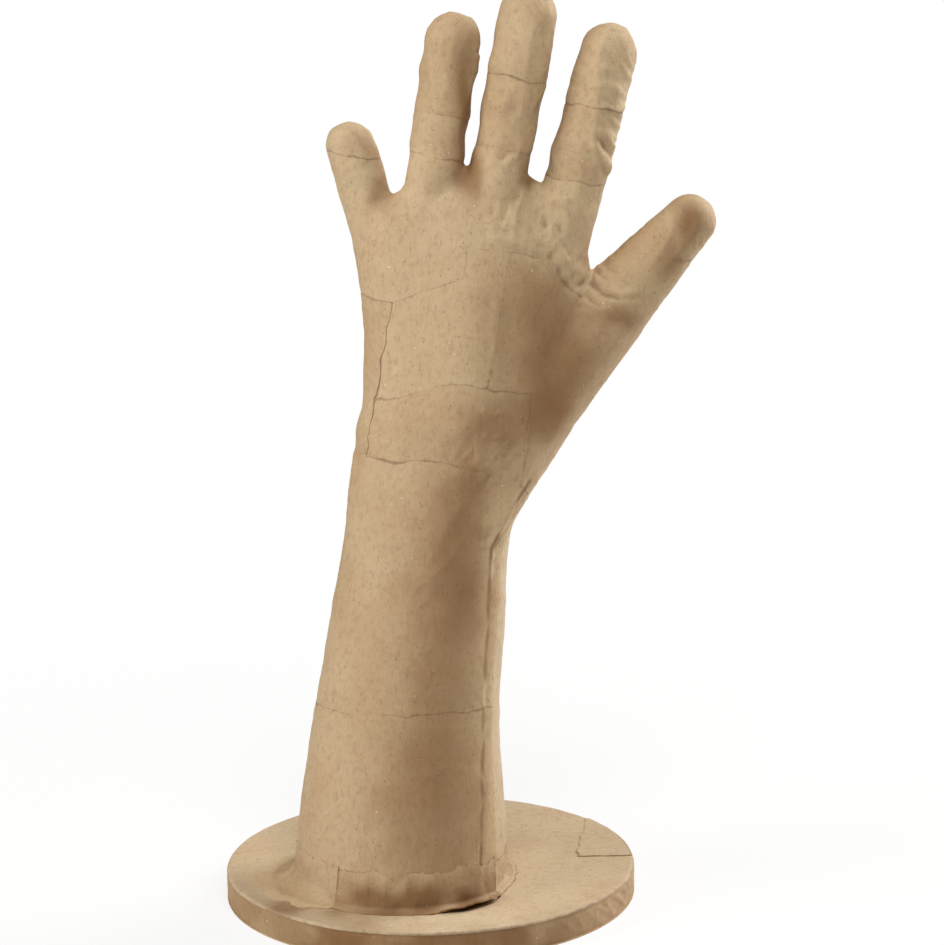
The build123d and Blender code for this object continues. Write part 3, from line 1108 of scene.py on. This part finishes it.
@dataclass
class Hand(Covering):
    """Back and palm sheets over the two moulded shells."""

    sheets: tuple[Sheet, ...] = (
        Sheet("wrist_sheet", Lap.UNDER, Tone.WARM),
        Sheet("hand_heel_sheet", Lap.BETWEEN, Tone.WARM),
        Sheet("hand_edge_strip", Lap.OVER, Tone.WARM),
        Sheet("hand_back_sheet", Lap.UNDER, Tone.PALE),
        Sheet("hand_thumb_sheet", Lap.BETWEEN, Tone.WARM),
        Sheet("knuckle_left_sheet", Lap.BETWEEN, Tone.PALE),
        Sheet("knuckle_right_sheet", Lap.BETWEEN, Tone.PALE),
        Sheet("palm_lower_sheet", Lap.BETWEEN, Tone.WARM),
        Sheet("palm_upper_sheet", Lap.BETWEEN, Tone.WARM),
    )
    folds: tuple[Fold, ...] = (
        Fold(((22.7, 208.6), (34.1, 204.5), (41.2, 204)), 1.3, -0.4),
        Fold(((40.5, 205), (45.1, 197.5), (50.1, 190.5)), 1.2, -0.6),
        Fold(((24, 211), (35, 208)), 2.4, 0.6, wander=2.0),
        Fold(((41, 208.5), (44, 206), (48, 200), (52.5, 193.5)), 1.9, 1.2, wander=1.6),
        Fold(((29.6, 211), (30.6, 216), (32.2, 222), (34, 230)), 2.6, 1.1, crest=Crest.SHARP),
        Fold(((42, 206), (43, 214), (46, 224)), 3.2, 1.1),
        Fold(((34.9, 161), (33.7, 146), (31.3, 133)), 1.0, -0.45),
        Fold(((31, 131), (40, 145), (52, 162), (63, 177), (72, 189)), 2.6, 0.7),
        Fold(((22.5, 166), (23.5, 180), (25, 195)), 2.2, 0.5),
        Fold(((26, 224), (23, 200), (15, 165), (7, 130), (0, 95)), 15.0, 2.0),
        Fold(((55.5, 196.5), (60, 192), (65, 190.2), (70, 191.5)), 1.3, 1.1),
        Fold(((53, 192.5), (58, 188.5), (63, 187)), 1.1, 0.8),
        Fold(((54.3, 194.6), (59, 190.2), (64, 188.6)), 1.0, -0.5),
        Fold(((56, 199.5), (61, 196), (66, 195)), 1.1, 0.6),
        Fold(((17.8, 156.6), (22.2, 154.4), (27.4, 156.6)), 0.9, 0.55),
        Fold(((15.6, 138.9), (21.4, 136.6), (26.2, 140.3)), 0.9, 0.6),
        Fold(((19, 149), (23, 147), (26.5, 149.5)), 0.9, 0.45),
    )
    crumples: tuple[Crumple, ...] = (
        Crumple((25, 140), 14.0, 0.5, 3.6, 40.0),
        Crumple((60, 191), 12.0, 0.85, 4.0, -65.0),
        Crumple((45, 205), 9.0, 0.6, 3.2, 30.0),
        Crumple((42, 214), 8.0, 0.55, 3.2, -15.0),
        Crumple((40, 180), 16.0, 0.25, 5.0, 20.0),
        Crumple((26, 219), 9.0, 0.35, 3.6, 10.0),
    )
    # Dark places are paste stain and painted shade on the hand's shaded right and thumb side; pale ones are
    # painted light on lit folds and knuckles.
    soak_and_shade_places: tuple[SoakAndShade, ...] = (
        SoakAndShade((40, 190), (16, 14), 0.55),
        SoakAndShade((45, 172), (17, 15), 0.7),
        SoakAndShade((40, 155), (10, 13), 0.9),
        SoakAndShade((22, 150), (12, 11), 0.7),
        SoakAndShade((16, 134), (10, 8), 0.6),
        SoakAndShade((22, 178), (5, 22), 0.25),
        SoakAndShade((65, 183.5), (9, 5), 0.65),
        SoakAndShade((43, 212), (7, 12), -0.8),
        SoakAndShade((50.2, 197), (5, 5), -0.6),
        SoakAndShade((61, 192), (8, 4), -0.6),
        SoakAndShade((30.7, 217), (4, 8), -0.5),
        SoakAndShade((6, 188), (8, 30), -0.3),
    )


@dataclass
class Digits(Covering):
    """Kraft wraps over the five rolled tubes.

    At most roots the wrap is pasted out flush over the hand, so that no border shows.
    """

    blended: ClassVar[frozenset[frozenset[str]]] = frozenset(
        frozenset((wrap, sheet))
        for wrap, sheets in (
            ("index_finger_root_wrap", ("knuckle_right_sheet", "palm_upper_sheet")),
            ("middle_finger_root_wrap", ("knuckle_left_sheet", "knuckle_right_sheet", "palm_upper_sheet")),
            ("ring_finger_root_wrap", ("knuckle_left_sheet", "palm_upper_sheet")),
            ("little_finger_root_wrap", ("knuckle_left_sheet", "palm_upper_sheet")),
            ("thumb_root_wrap", ("hand_thumb_sheet", "hand_heel_sheet", "knuckle_right_sheet")),
            ("thumb_root_wrap", ("palm_upper_sheet", "palm_lower_sheet")),
            ("hand_edge_strip", ("palm_upper_sheet", "palm_lower_sheet")),
        )
        for sheet in sheets
    )
    sheets: tuple[Sheet, ...] = (
        Sheet("thumb_root_wrap", Lap.BETWEEN, Tone.WARM),
        Sheet("thumb_tip_wrap", Lap.OVER, Tone.WARM),
        Sheet("index_finger_root_wrap", Lap.BETWEEN, Tone.PALE),
        Sheet("index_finger_middle_wrap", Lap.BETWEEN, Tone.WARM),
        Sheet("index_finger_tip_wrap", Lap.OVER, Tone.PALE),
        Sheet("middle_finger_root_wrap", Lap.BETWEEN, Tone.PALE),
        Sheet("middle_finger_middle_wrap", Lap.OVER, Tone.WARM),
        Sheet("middle_finger_tip_wrap", Lap.BETWEEN, Tone.WARM),
        Sheet("ring_finger_root_wrap", Lap.BETWEEN, Tone.PALE),
        Sheet("ring_finger_middle_wrap", Lap.BETWEEN, Tone.PALE),
        Sheet("ring_finger_tip_wrap", Lap.OVER, Tone.WARM),
        Sheet("little_finger_root_wrap", Lap.BETWEEN, Tone.PALE),
        Sheet("little_finger_tip_wrap", Lap.OVER, Tone.PALE),
    )
    folds: tuple[Fold, ...] = (
        Fold(((59.5, 274), (57.4, 255), (56, 240), (56.5, 226)), 3.0, 1.0, crest=Crest.SHARP),
        Fold(((57, 244), (60, 240), (63, 234)), 1.2, 0.9),
        Fold(((55.5, 240), (59, 235), (62, 228)), 1.1, 0.8),
        Fold(((58, 251), (61.5, 249), (65, 250)), 1.1, 0.7),
        Fold(((38.3, 279), (34.2, 257), (31.6, 241), (30, 221)), 3.0, 0.9, crest=Crest.SHARP),
        Fold(((27, 232), (31, 236), (34, 243)), 1.2, 0.6),
        Fold(((20.8, 261), (20.6, 268)), 2.2, 1.5),
    )
    crumples: tuple[Crumple, ...] = (
        Crumple((61, 258), 9.0, 0.8, 3.4, -40.0),
        Crumple((60, 238), 9.0, 0.7, 3.4, -35.0),
        Crumple((35, 252), 9.0, 0.45, 3.4, 20.0),
        Crumple((30, 232), 7.0, 0.45, 3.2, -50.0),
        Crumple((80, 207), 12.0, 0.45, 4.5, 45.0),
        Crumple((15, 268), 9.0, 0.4, 4.0, 15.0),
        Crumple((-14, 234), 8.0, 0.3, 4.0, -25.0),
    )
    # Dark places are paste stain and painted shade on the fingers' shaded sides, the ring finger's right most
    # of all; pale ones are painted light on the lit right sides of the index and middle fingers.
    soak_and_shade_places: tuple[SoakAndShade, ...] = (
        SoakAndShade((16, 252), (4, 26), 0.75),
        SoakAndShade((16, 229), (5, 8), 0.9),
        SoakAndShade((36.5, 229), (4, 6), 0.9),
        SoakAndShade((-15, 238), (4, 9), 0.45),
        SoakAndShade((-10, 225), (5, 8), 0.55),
        SoakAndShade((87, 213), (6, 8), 0.85),
        SoakAndShade((79, 201), (6, 8), 0.6),
        SoakAndShade((62, 255), (5, 20), -0.9),
        SoakAndShade((37.5, 264), (4, 22), -0.9),
        SoakAndShade((27, 258), (5, 25), 0.25),
        SoakAndShade((27, 221), (5, 9), -0.35),
    )


@dataclass
class RoundBase:
    """Three board discs in kraft paper: top sheet, rim bands, bottom sheet and a patch at the edge."""

    diameter: float = 135.0
    height: float = BASE_TOP
    paper: float = 0.5
    edge_round: float = 1.1
    around: int = 320
    rim_steps: int = 300
    rim_rows: int = 16
    rim_ridge: float = 0.6
    rim_shade_at: float = -90.0  # degrees: the front, where painted shade darkens the rim
    rim_shade_reach: float = 44.0
    # a darker place on the top sheet, at the front left
    darkened_at: tuple[float, float] = (-36.0, -40.0)
    darkened_reach: tuple[float, float] = (26.0, 20.0)
    patch_from: float = 1.0  # depth where the patch starts
    patch_depth: float = 38.0
    patch_left: float = 48.6
    patch_slant: float = 4.4

    @property
    def radius(self) -> float:
        """The base's radius in millimetres."""
        return self.diameter / 2

    def build(self) -> None:
        """Make the sheets of the base."""
        self._top()
        for node, start in (("base_rim_left", 90.0), ("base_rim_right", -90.0)):
            self._rim(node, start)
        self._patch()
        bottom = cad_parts["base_bottom_sheet"].data.materials
        bottom.clear()
        bottom.append(KraftPaper(Tone.WARM).material())

    def _sheet(
        self, node: str, points: np.ndarray, faces: list[list[int]], marks: dict[str, np.ndarray], tone: Tone
    ) -> None:
        """Make one sheet of the base and hand it over.

        Args:
            node: the node that it stands for.
            points: millimetre points of its outer face.
            faces: the outer face's polygons.
            marks: named values per point for the finish.
            tone: its brown.
        """
        obj = sheet_object(f"paper_{node}", points, outward(points, faces), faces, self.paper, marks)
        finished(obj, node, KraftPaper(tone).material())

    def _top(self) -> None:
        """Top sheet, a little uneven, rounded over at its edge, and darker at the front left and towards its
        front edge.
        """
        rounding = [self.radius - back for back in (1.2, 0.7, 0.35, 0.12, 0.02)]
        rings = list(np.linspace(2, self.radius - 2, 56)) + rounding
        turns = [2 * math.pi * i / self.around for i in range(self.around)]
        points = [(0.0, 0.0, self.height)]
        for r in rings:
            over = max(0.0, r - (self.radius - self.edge_round)) / self.edge_round
            drop = self.edge_round * (1 - math.sqrt(max(0.0, 1 - over**2)))
            points += [(r * math.cos(a), r * math.sin(a), self.height - drop) for a in turns]
        co = np.array(points)
        far = np.hypot(co[:, 0], co[:, 1])
        co[:, 2] += 0.16 * waves(co, 17.0, 1.0) + 0.07 * waves(co, 5.0, 2.0) - 0.16
        n = self.around
        faces = [[0, 1 + i, 1 + (i + 1) % n] for i in range(n)]
        for k in range(len(rings) - 1):
            a, b = 1 + k * n, 1 + (k + 1) * n
            faces += [[a + i, b + i, b + (i + 1) % n, a + (i + 1) % n] for i in range(n)]
        away = (co[:, :2] - np.array(self.darkened_at)) / np.array(self.darkened_reach)
        darkened = 0.5 * np.exp(-(away**2).sum(1))
        darkened += 0.3 * np.clip((far - 52) / 12, 0, 1) * np.clip(-co[:, 1] / 40, 0, 1)
        marks = {
            "edge": np.minimum(edge_mark(self.radius - far), 0.9),
            "hollow": np.zeros(len(co)),
            "soak_and_shade": darkened * np.clip(0.7 + 0.9 * waves(co, 11.0, 8.0), 0, 1),
        }
        self._sheet("base_top_sheet", co, faces, marks, Tone.ASH)

    def _rim(self, node: str, start: float) -> None:
        """One half of the rim's paper, with slanting wrinkles, painted shade in their troughs and painted
        shade darkening it at the front.

        Args:
            node: the rim band that it stands for.
            start: the angle where the band starts, in degrees.
        """
        steps, rows = self.rim_steps, self.rim_rows
        points = []
        for j in range(rows + 1):
            z = self.paper + (self.height - self.paper - self.edge_round * 0.75) * j / rows
            for i in range(steps + 1):
                a = math.radians(start + 180 * i / steps)
                points.append((self.radius * math.cos(a), self.radius * math.sin(a), z))
        co = np.array(points)
        turn = np.arctan2(co[:, 1], co[:, 0])
        arc = turn * self.radius
        slanted = np.stack([arc + co[:, 2] * 1.1, co[:, 2] * 0.35, arc * 0.06], 1)
        ridges = 1 - 2.4 * np.abs(waves(slanted, 6.0, 3.0))
        strength = np.clip(0.5 + 0.9 * waves(co, 30.0, 5.0), 0.1, 1)
        free = np.clip(np.minimum(co[:, 2] - self.paper, self.height - 1.0 - co[:, 2]) / 1.5, 0, 1)
        lift = self.rim_ridge * np.clip(ridges, 0, 1) ** 1.5 * strength * free
        lift += 0.12 * waves(co, 9.0, 6.0) * free
        co = co + np.stack([np.cos(turn), np.sin(turn), np.zeros(len(co))], 1) * (lift - 0.25)[:, None]
        along = np.arange(len(co)) % (steps + 1)
        ends = np.minimum(along, steps - along) * math.pi * self.radius / steps
        low = np.minimum(co[:, 2] - self.paper, self.height - 0.8 - co[:, 2])
        front = np.exp(-(((np.degrees(turn) - self.rim_shade_at) / self.rim_shade_reach) ** 4))
        marks = {
            "edge": edge_mark(np.minimum(ends, low + 0.3)),
            # painted shade in the troughs between the wrinkles
            "hollow": np.clip(-ridges, 0, 1) * strength * free * 0.8,
            # painted shade on the rim's front
            "soak_and_shade": 0.95 * front * np.clip(0.8 + 0.8 * waves(co, 12.0, 9.0), 0.3, 1),
        }
        self._sheet(node, co, grid_faces(steps + 1, rows + 1), marks, Tone.BROWN)

    def _patch(self) -> None:
        """Small torn patch at the right edge of the top sheet."""
        cols, rows = 46, 84
        points = []
        for j in range(rows + 1):
            y = self.patch_from + self.patch_depth * j / rows
            torn = 1.2 * noise.noise(Vector((y / 5.0, 0.3, 0.0)))
            left = self.patch_left + torn + self.patch_slant * j / rows
            right = math.sqrt((self.radius - 0.6) ** 2 - y**2)
            points += [(left + (right - left) * i / cols, y, self.height + 0.12) for i in range(cols + 1)]
        co = np.array(points)
        co[:, 1] += 0.5 * waves(co, 4.0, 7.0)
        co[:, 2] += 0.05 * waves(co, 8.0, 8.0)
        row, col = np.divmod(np.arange(len(co)), cols + 1)
        near = np.minimum(np.minimum(col, cols - col) * 0.35, np.minimum(row, rows - row) * 0.4)
        marks = {"edge": edge_mark(near), "hollow": np.zeros(len(co))}
        self._sheet("base_edge_patch", co, grid_faces(cols + 1, rows + 1), marks, Tone.ASH)


@dataclass(frozen=True)
class FootStrip:
    """One strip at the foot: its node, its span in degrees and how it is folded, in millimetres."""

    node: str
    start: float
    end: float
    rise: float
    flange: float
    fillet: float
    tone: Tone
    # how dark the strip gets lower down: paste stain and painted shade
    soak_and_shade: float
    flush: bool = False  # pasted out smooth onto the base
    loose: tuple[float, float] = (0.0, 0.0)  # degrees where it has come up
    split: int = 0  # steps at its start that have split from the next strip


@dataclass(frozen=True)
class StripFold:
    """How a strip runs at one angle, in millimetres: top, corner, reach, sideways fold and flap's lift."""

    top: float
    bend: float
    reach: float
    fold: float
    lift: float

    def run(self) -> list[tuple[float, float, float]]:
        """Follow the strip down the forearm, round the corner and out onto the base.

        Returns:
            Height above the base, way out from the forearm and distance from the strip's edge, step by step.
        """
        start, foot = max(self.top, self.bend + 2.0), self.bend + 0.4
        row = [(start + (foot - start) * k / 9, 0.0, (k / 9) * self.top) for k in range(9)]
        for k in range(8):
            t = math.radians(90 * k / 7)
            height = 0.4 + self.bend * (1 - math.sin(t)) + self.lift * (t / math.pi) ** 2
            row.append((height, self.bend * (1 - math.cos(t)), 9.0))
        for o in (0.25, 0.5, 0.75, 1.0):
            height = 0.4 + self.lift * (0.25 + 0.75 * o**1.4) - (0.0 if self.lift else 0.3 * o)
            row.append((height, self.bend + (self.reach - self.bend) * o, (self.reach - self.bend) * (1 - o)))
        return row


def drift(angle: float, spacing: float, row: float, layer: float = 0.0) -> float:
    """Smooth noise between -1 and 1 along the foot, with a wave of so many degrees."""
    return noise.noise(Vector((angle / spacing, row, layer)))


@dataclass
class FootStrips:
    """Strips that fold from the forearm's foot out onto the base, one of them torn loose at the front."""

    skin: PaperSkin
    paper: float = 0.5
    lowest_sample: float = 2.4  # the skin is met no lower than this above the base
    strips: tuple[FootStrip, ...] = (
        FootStrip("foot_strip_right", -32.0, 47.0, 9.5, 3.4, 1.6, Tone.PALE, 0.0),
        FootStrip("foot_strip_back", 47.0, 134.0, 9.0, 6.0, 2.5, Tone.WARM, 0.1),
        FootStrip("foot_strip_left", 134.0, 232.0, 13.0, 13.0, 7.0, Tone.WARM, 0.3, flush=True),
        FootStrip(
            "foot_strip_front", 232.0, 328.0, 12.0, 3.4, 1.6, Tone.WARM, 1.0, loose=(288.0, 326.0), split=3
        ),
    )

    def build(self) -> None:
        """Make the four strips."""
        tree = BVHTree.FromPolygons(self.skin.points.tolist(), self.skin.faces.tolist())
        for strip in self.strips:
            self._strip(tree, strip)

    def _fold_at(self, strip: FootStrip, share: float) -> StripFold:
        """How a strip runs at one place along it.

        Args:
            strip: what the strip is like.
            share: the place along it, from 0 to 1.

        Returns:
            Its fold there.
        """
        angle = strip.start + (strip.end - strip.start) * share
        ragged = drift(angle, 4.0, 2.0) + 0.5 * drift(angle, 1.5, 4.0)
        ends = math.sin(math.pi * share) ** 0.7
        bend = 1.2 + (strip.fillet - 1.2) * ends * (1 + 0.35 * drift(angle, 9.0, 3.0, 7.0))
        reach = strip.flange * (1 + 0.4 * drift(angle, 8.0, 9.0) + 0.06 * ragged)
        reach = 2.6 + (reach - 2.6) * ends
        lift = 0.0
        if strip.loose[0] < angle < strip.loose[1]:
            opened = math.sin(math.pi * (angle - strip.loose[0]) / (strip.loose[1] - strip.loose[0]))
            lift = opened**0.6 * (1.9 + 1.2 * drift(angle, 4.0, 1.0, 5.0))
            reach += 2.6 * opened
        return StripFold(
            top=strip.rise + 0.9 * ragged + 3.0 * drift(angle, 13.0, 8.0),
            bend=bend,
            reach=max(reach, bend + 0.8),
            fold=0.12 * drift(angle, 3.0, 6.0),
            lift=lift,
        )

    def _strip(self, tree: BVHTree, strip: FootStrip) -> None:
        """Make one strip, with painted shade in its corner on the base and under its split start, and paste
        stain and painted shade darkening it lower down.

        Args:
            tree: the skin to lie on.
            strip: what the strip is like.
        """
        steps = round(1.6 * (strip.end - strip.start))
        points, near, fold_shade, soak_and_shade_rows = [], [], [], []
        for i in range(steps + 1):
            turn = math.radians(strip.start + (strip.end - strip.start) * i / steps)
            ray = Vector((math.cos(turn), math.sin(turn), 0))
            shape = self._fold_at(strip, i / steps)
            split = 1.0 if i < strip.split else 0.0
            row = shape.run()
            for height, away, inside in row:
                foot = self._reach(tree, ray, BASE_TOP + max(height, self.lowest_sample))
                spot = foot + ray * (0.4 + shape.fold + away)
                points.append((spot.x, spot.y, BASE_TOP + height))
                near.append(min(inside + 0.05, min(i, steps - i) * 0.35))
                # painted shade where the strip bends onto the base, and under its split start
                fold_shade.append(max(split, 1 - abs(height - 0.8) / 3.0) if away < shape.bend + 0.5 else split)
                # darker lower down from paste stain and painted shade; a flush flange pales towards its edge
                # to meet the base's tone
                if strip.flush and away >= shape.bend:
                    soak_and_shade_rows.append(-0.35 * away / shape.reach)
                else:
                    soak_and_shade_rows.append(min(1.0, 0.1 + max(0.0, shape.top - height) / 8.0))
        faces = grid_faces(len(row), steps + 1)
        co = np.array(points)
        co += 0.16 * np.stack([waves(co, 3.0, seed) for seed in (1.0, 2.0, 3.0)], 1)
        co += 0.3 * outward(co, faces) * np.clip(waves(co, 5.5, 12.0), -0.3, 1)[:, None]
        patchy = np.clip(0.8 + 0.8 * waves(co, 9.0, 4.0), 0.4, 1)
        marks = {
            "edge": edge_mark(np.array(near)) * (0.5 if strip.flush else 1.0),
            "hollow": np.array(fold_shade) * (0.25 if strip.flush else 0.8) * patchy,
            "soak_and_shade": np.where(np.array(soak_and_shade_rows) > 0, strip.soak_and_shade * patchy, 1.0) * np.array(soak_and_shade_rows),
        }
        obj = sheet_object(f"paper_{strip.node}", co, outward(co, faces), faces, self.paper, marks)
        finished(obj, strip.node, KraftPaper(strip.tone).material())

    def _reach(self, tree: BVHTree, ray: Vector, z: float) -> Vector:
        """Where the skin lies in a direction from the foot's middle.

        Args:
            tree: the skin.
            ray: the direction, level.
            z: the height in millimetres.

        Returns:
            The point on the skin.
        """
        middle = Vector((FOOT_X, FOOT_Y, z))
        hit = tree.ray_cast(middle + ray * 80, -ray)[0]
        return hit if hit else middle + ray * 33


@dataclass
class Cores:
    """What lies under the paper: boards, sleeve, shells and tubes."""

    finishes: dict[str, GreyBoard] = field(
        default_factory=lambda: {
            "base_board": GreyBoard("pressed_grey_board", "#8F897F", "#7A746A"),
            "forearm_sleeve": GreyBoard("rolled_brown_card", "#A58A66", "#8C7352"),
            "_shell": GreyBoard("moulded_paper_pulp", "#A99A82", "#948570"),
            "_tube": GreyBoard("rolled_pasted_paper", "#A58A66", "#927A58"),
        }
    )

    def dress(self) -> None:
        """Give each hidden node its own material."""
        for key, finish in self.finishes.items():
            mat = finish.material()
            for name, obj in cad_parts.items():
                if key in name:
                    obj.data.materials.clear()
                    obj.data.materials.append(mat)
                    log.info("%s: %s", name, mat.name)


@dataclass(frozen=True)
class SoftLamp:
    """One soft rectangular lamp: its place and size in metres, and its watts."""

    name: str
    place: tuple[float, float, float]
    size: tuple[float, float]
    power: float


@dataclass
class Studio:
    """Plain pale floor, three soft lamps and the camera at the photograph's angle."""

    lens: float = 145.0
    eye: tuple[float, float, float] = (0.0, -1.1969, 0.4349)
    aim: tuple[float, float, float] = (0.0158, 0.0, 0.1422)
    roll: float = -0.91
    lamps: tuple[SoftLamp, ...] = (
        SoftLamp("left_softbox", (-1.06, -0.33, 0.62), (0.6, 0.9), 9.5),
        SoftLamp("top_softbox", (0.12, -0.55, 1.21), (0.5, 0.5), 9.3),
        SoftLamp("right_softbox", (0.93, 0.54, 0.68), (0.6, 1.1), 15.0),
    )
    lamps_aim: tuple[float, float, float] = (0.0, 0.0, 0.15)
    ambient: float = 0.015
    floor_half: float = 8.0

    def build(self) -> None:
        """Set up floor, world, lamps and camera."""
        bpy.context.scene.view_settings.view_transform = "Standard"
        self._floor()
        self._world()
        for lamp in self.lamps:
            self._lamp(lamp)
        self._camera()

    def _floor(self) -> None:
        """Large pale floor that stays near white and keeps a soft shadow by the base."""
        half = self.floor_half
        mesh = bpy.data.meshes.new("floor")
        corners = [(-half, -half, 0), (half, -half, 0), (half, half, 0), (-half, half, 0)]
        mesh.from_pydata(corners, [], [[0, 1, 2, 3]])
        floor = bpy.data.objects.new("floor", mesh)
        bpy.context.scene.collection.objects.link(floor)
        mat = bare_material("pale_floor")
        tree = mat.node_tree
        seen = add_node(tree, "ShaderNodeLightPath").outputs["Is Camera Ray"]
        place = add_node(tree, "ShaderNodeTexCoord").outputs["Object"]
        far = add_node(tree, "ShaderNodeVectorMath", {"operation": "LENGTH"}, {0: place}).outputs["Value"]
        white = add_node(
            tree,
            "ShaderNodeMapRange",
            {"interpolation_type": "SMOOTHSTEP"},
            {"Value": far, "From Min": 0.07, "From Max": 0.45, "To Min": 0.8, "To Max": 1.0},
        )
        share = reckoned(tree, "MULTIPLY", seen, white.outputs["Result"])
        dull = add_node(tree, "ShaderNodeBsdfDiffuse", links={"Color": linear("#F2F0EC")}).outputs["BSDF"]
        glow = add_node(tree, "ShaderNodeEmission", links={"Color": (1, 1, 1, 1), "Strength": 1.0})
        mix = add_node(tree, "ShaderNodeMixShader", links={0: share, 1: dull, 2: glow.outputs["Emission"]})
        add_node(tree, "ShaderNodeOutputMaterial", links={"Surface": mix.outputs["Shader"]})
        mesh.materials.append(mat)

    def _world(self) -> None:
        """White to the camera, dimmer as light."""
        world = bpy.data.worlds.new("studio")
        world.use_nodes = True
        tree = world.node_tree
        tree.nodes.clear()
        seen = add_node(tree, "ShaderNodeLightPath").outputs["Is Camera Ray"]
        levels = {"Value": seen, "To Min": self.ambient, "To Max": 1.0}
        light = add_node(tree, "ShaderNodeMapRange", links=levels)
        white = {"Color": (1, 1, 1, 1), "Strength": light.outputs["Result"]}
        sky = add_node(tree, "ShaderNodeBackground", links=white)
        add_node(tree, "ShaderNodeOutputWorld", links={"Surface": sky.outputs["Background"]})
        bpy.context.scene.world = world

    def _lamp(self, lamp: SoftLamp) -> None:
        """Hang one lamp and aim it at the hand.

        Args:
            lamp: what the lamp is like.
        """
        data = bpy.data.lights.new(lamp.name, "AREA")
        data.shape = "RECTANGLE"
        data.size, data.size_y = lamp.size
        data.energy = lamp.power
        obj = bpy.data.objects.new(lamp.name, data)
        obj.location = lamp.place
        obj.rotation_mode = "QUATERNION"
        obj.rotation_quaternion = (Vector(self.lamps_aim) - Vector(lamp.place)).to_track_quat("-Z", "Y")
        bpy.context.scene.collection.objects.link(obj)

    def _camera(self) -> None:
        """Long lens at the photograph's height and tilt."""
        data = bpy.data.cameras.new("camera")
        data.lens = self.lens
        data.sensor_width = 36.0
        data.dof.use_dof = False
        camera = bpy.data.objects.new("camera", data)
        camera.location = self.eye
        camera.rotation_mode = "QUATERNION"
        look = (Vector(self.aim) - Vector(self.eye)).to_track_quat("-Z", "Y")
        camera.rotation_quaternion = look @ Quaternion((0, 0, 1), math.radians(self.roll))
        bpy.context.scene.collection.objects.link(camera)
        bpy.context.scene.camera = camera


def main() -> None:
    """Build every sub-assembly in order."""
    logging.basicConfig(level=logging.INFO, format="%(name)s %(message)s")
    groups: tuple[Covering, ...] = (Forearm(), Hand(), Digits())
    tubes = [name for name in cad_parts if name.endswith("_tube")]
    skin = PaperSkin(
        cores=["forearm_sleeve", "hand_back_shell", "hand_palm_shell"] + tubes,
        sheets=[sheet for group in groups for sheet in group.sheets],
        folds=[fold for group in groups for fold in group.folds],
        crumples=[patch for group in groups for patch in group.crumples],
        soak_and_shade_places=[soak_and_shade for group in groups for soak_and_shade in group.soak_and_shade_places],
        blended=Digits.blended,
    )
    skin.build()
    for group in groups:
        group.dress(skin)
    RoundBase().build()
    FootStrips(skin).build()
    Cores().dress()
    Studio().build()


if __name__ == "__main__":
    main()
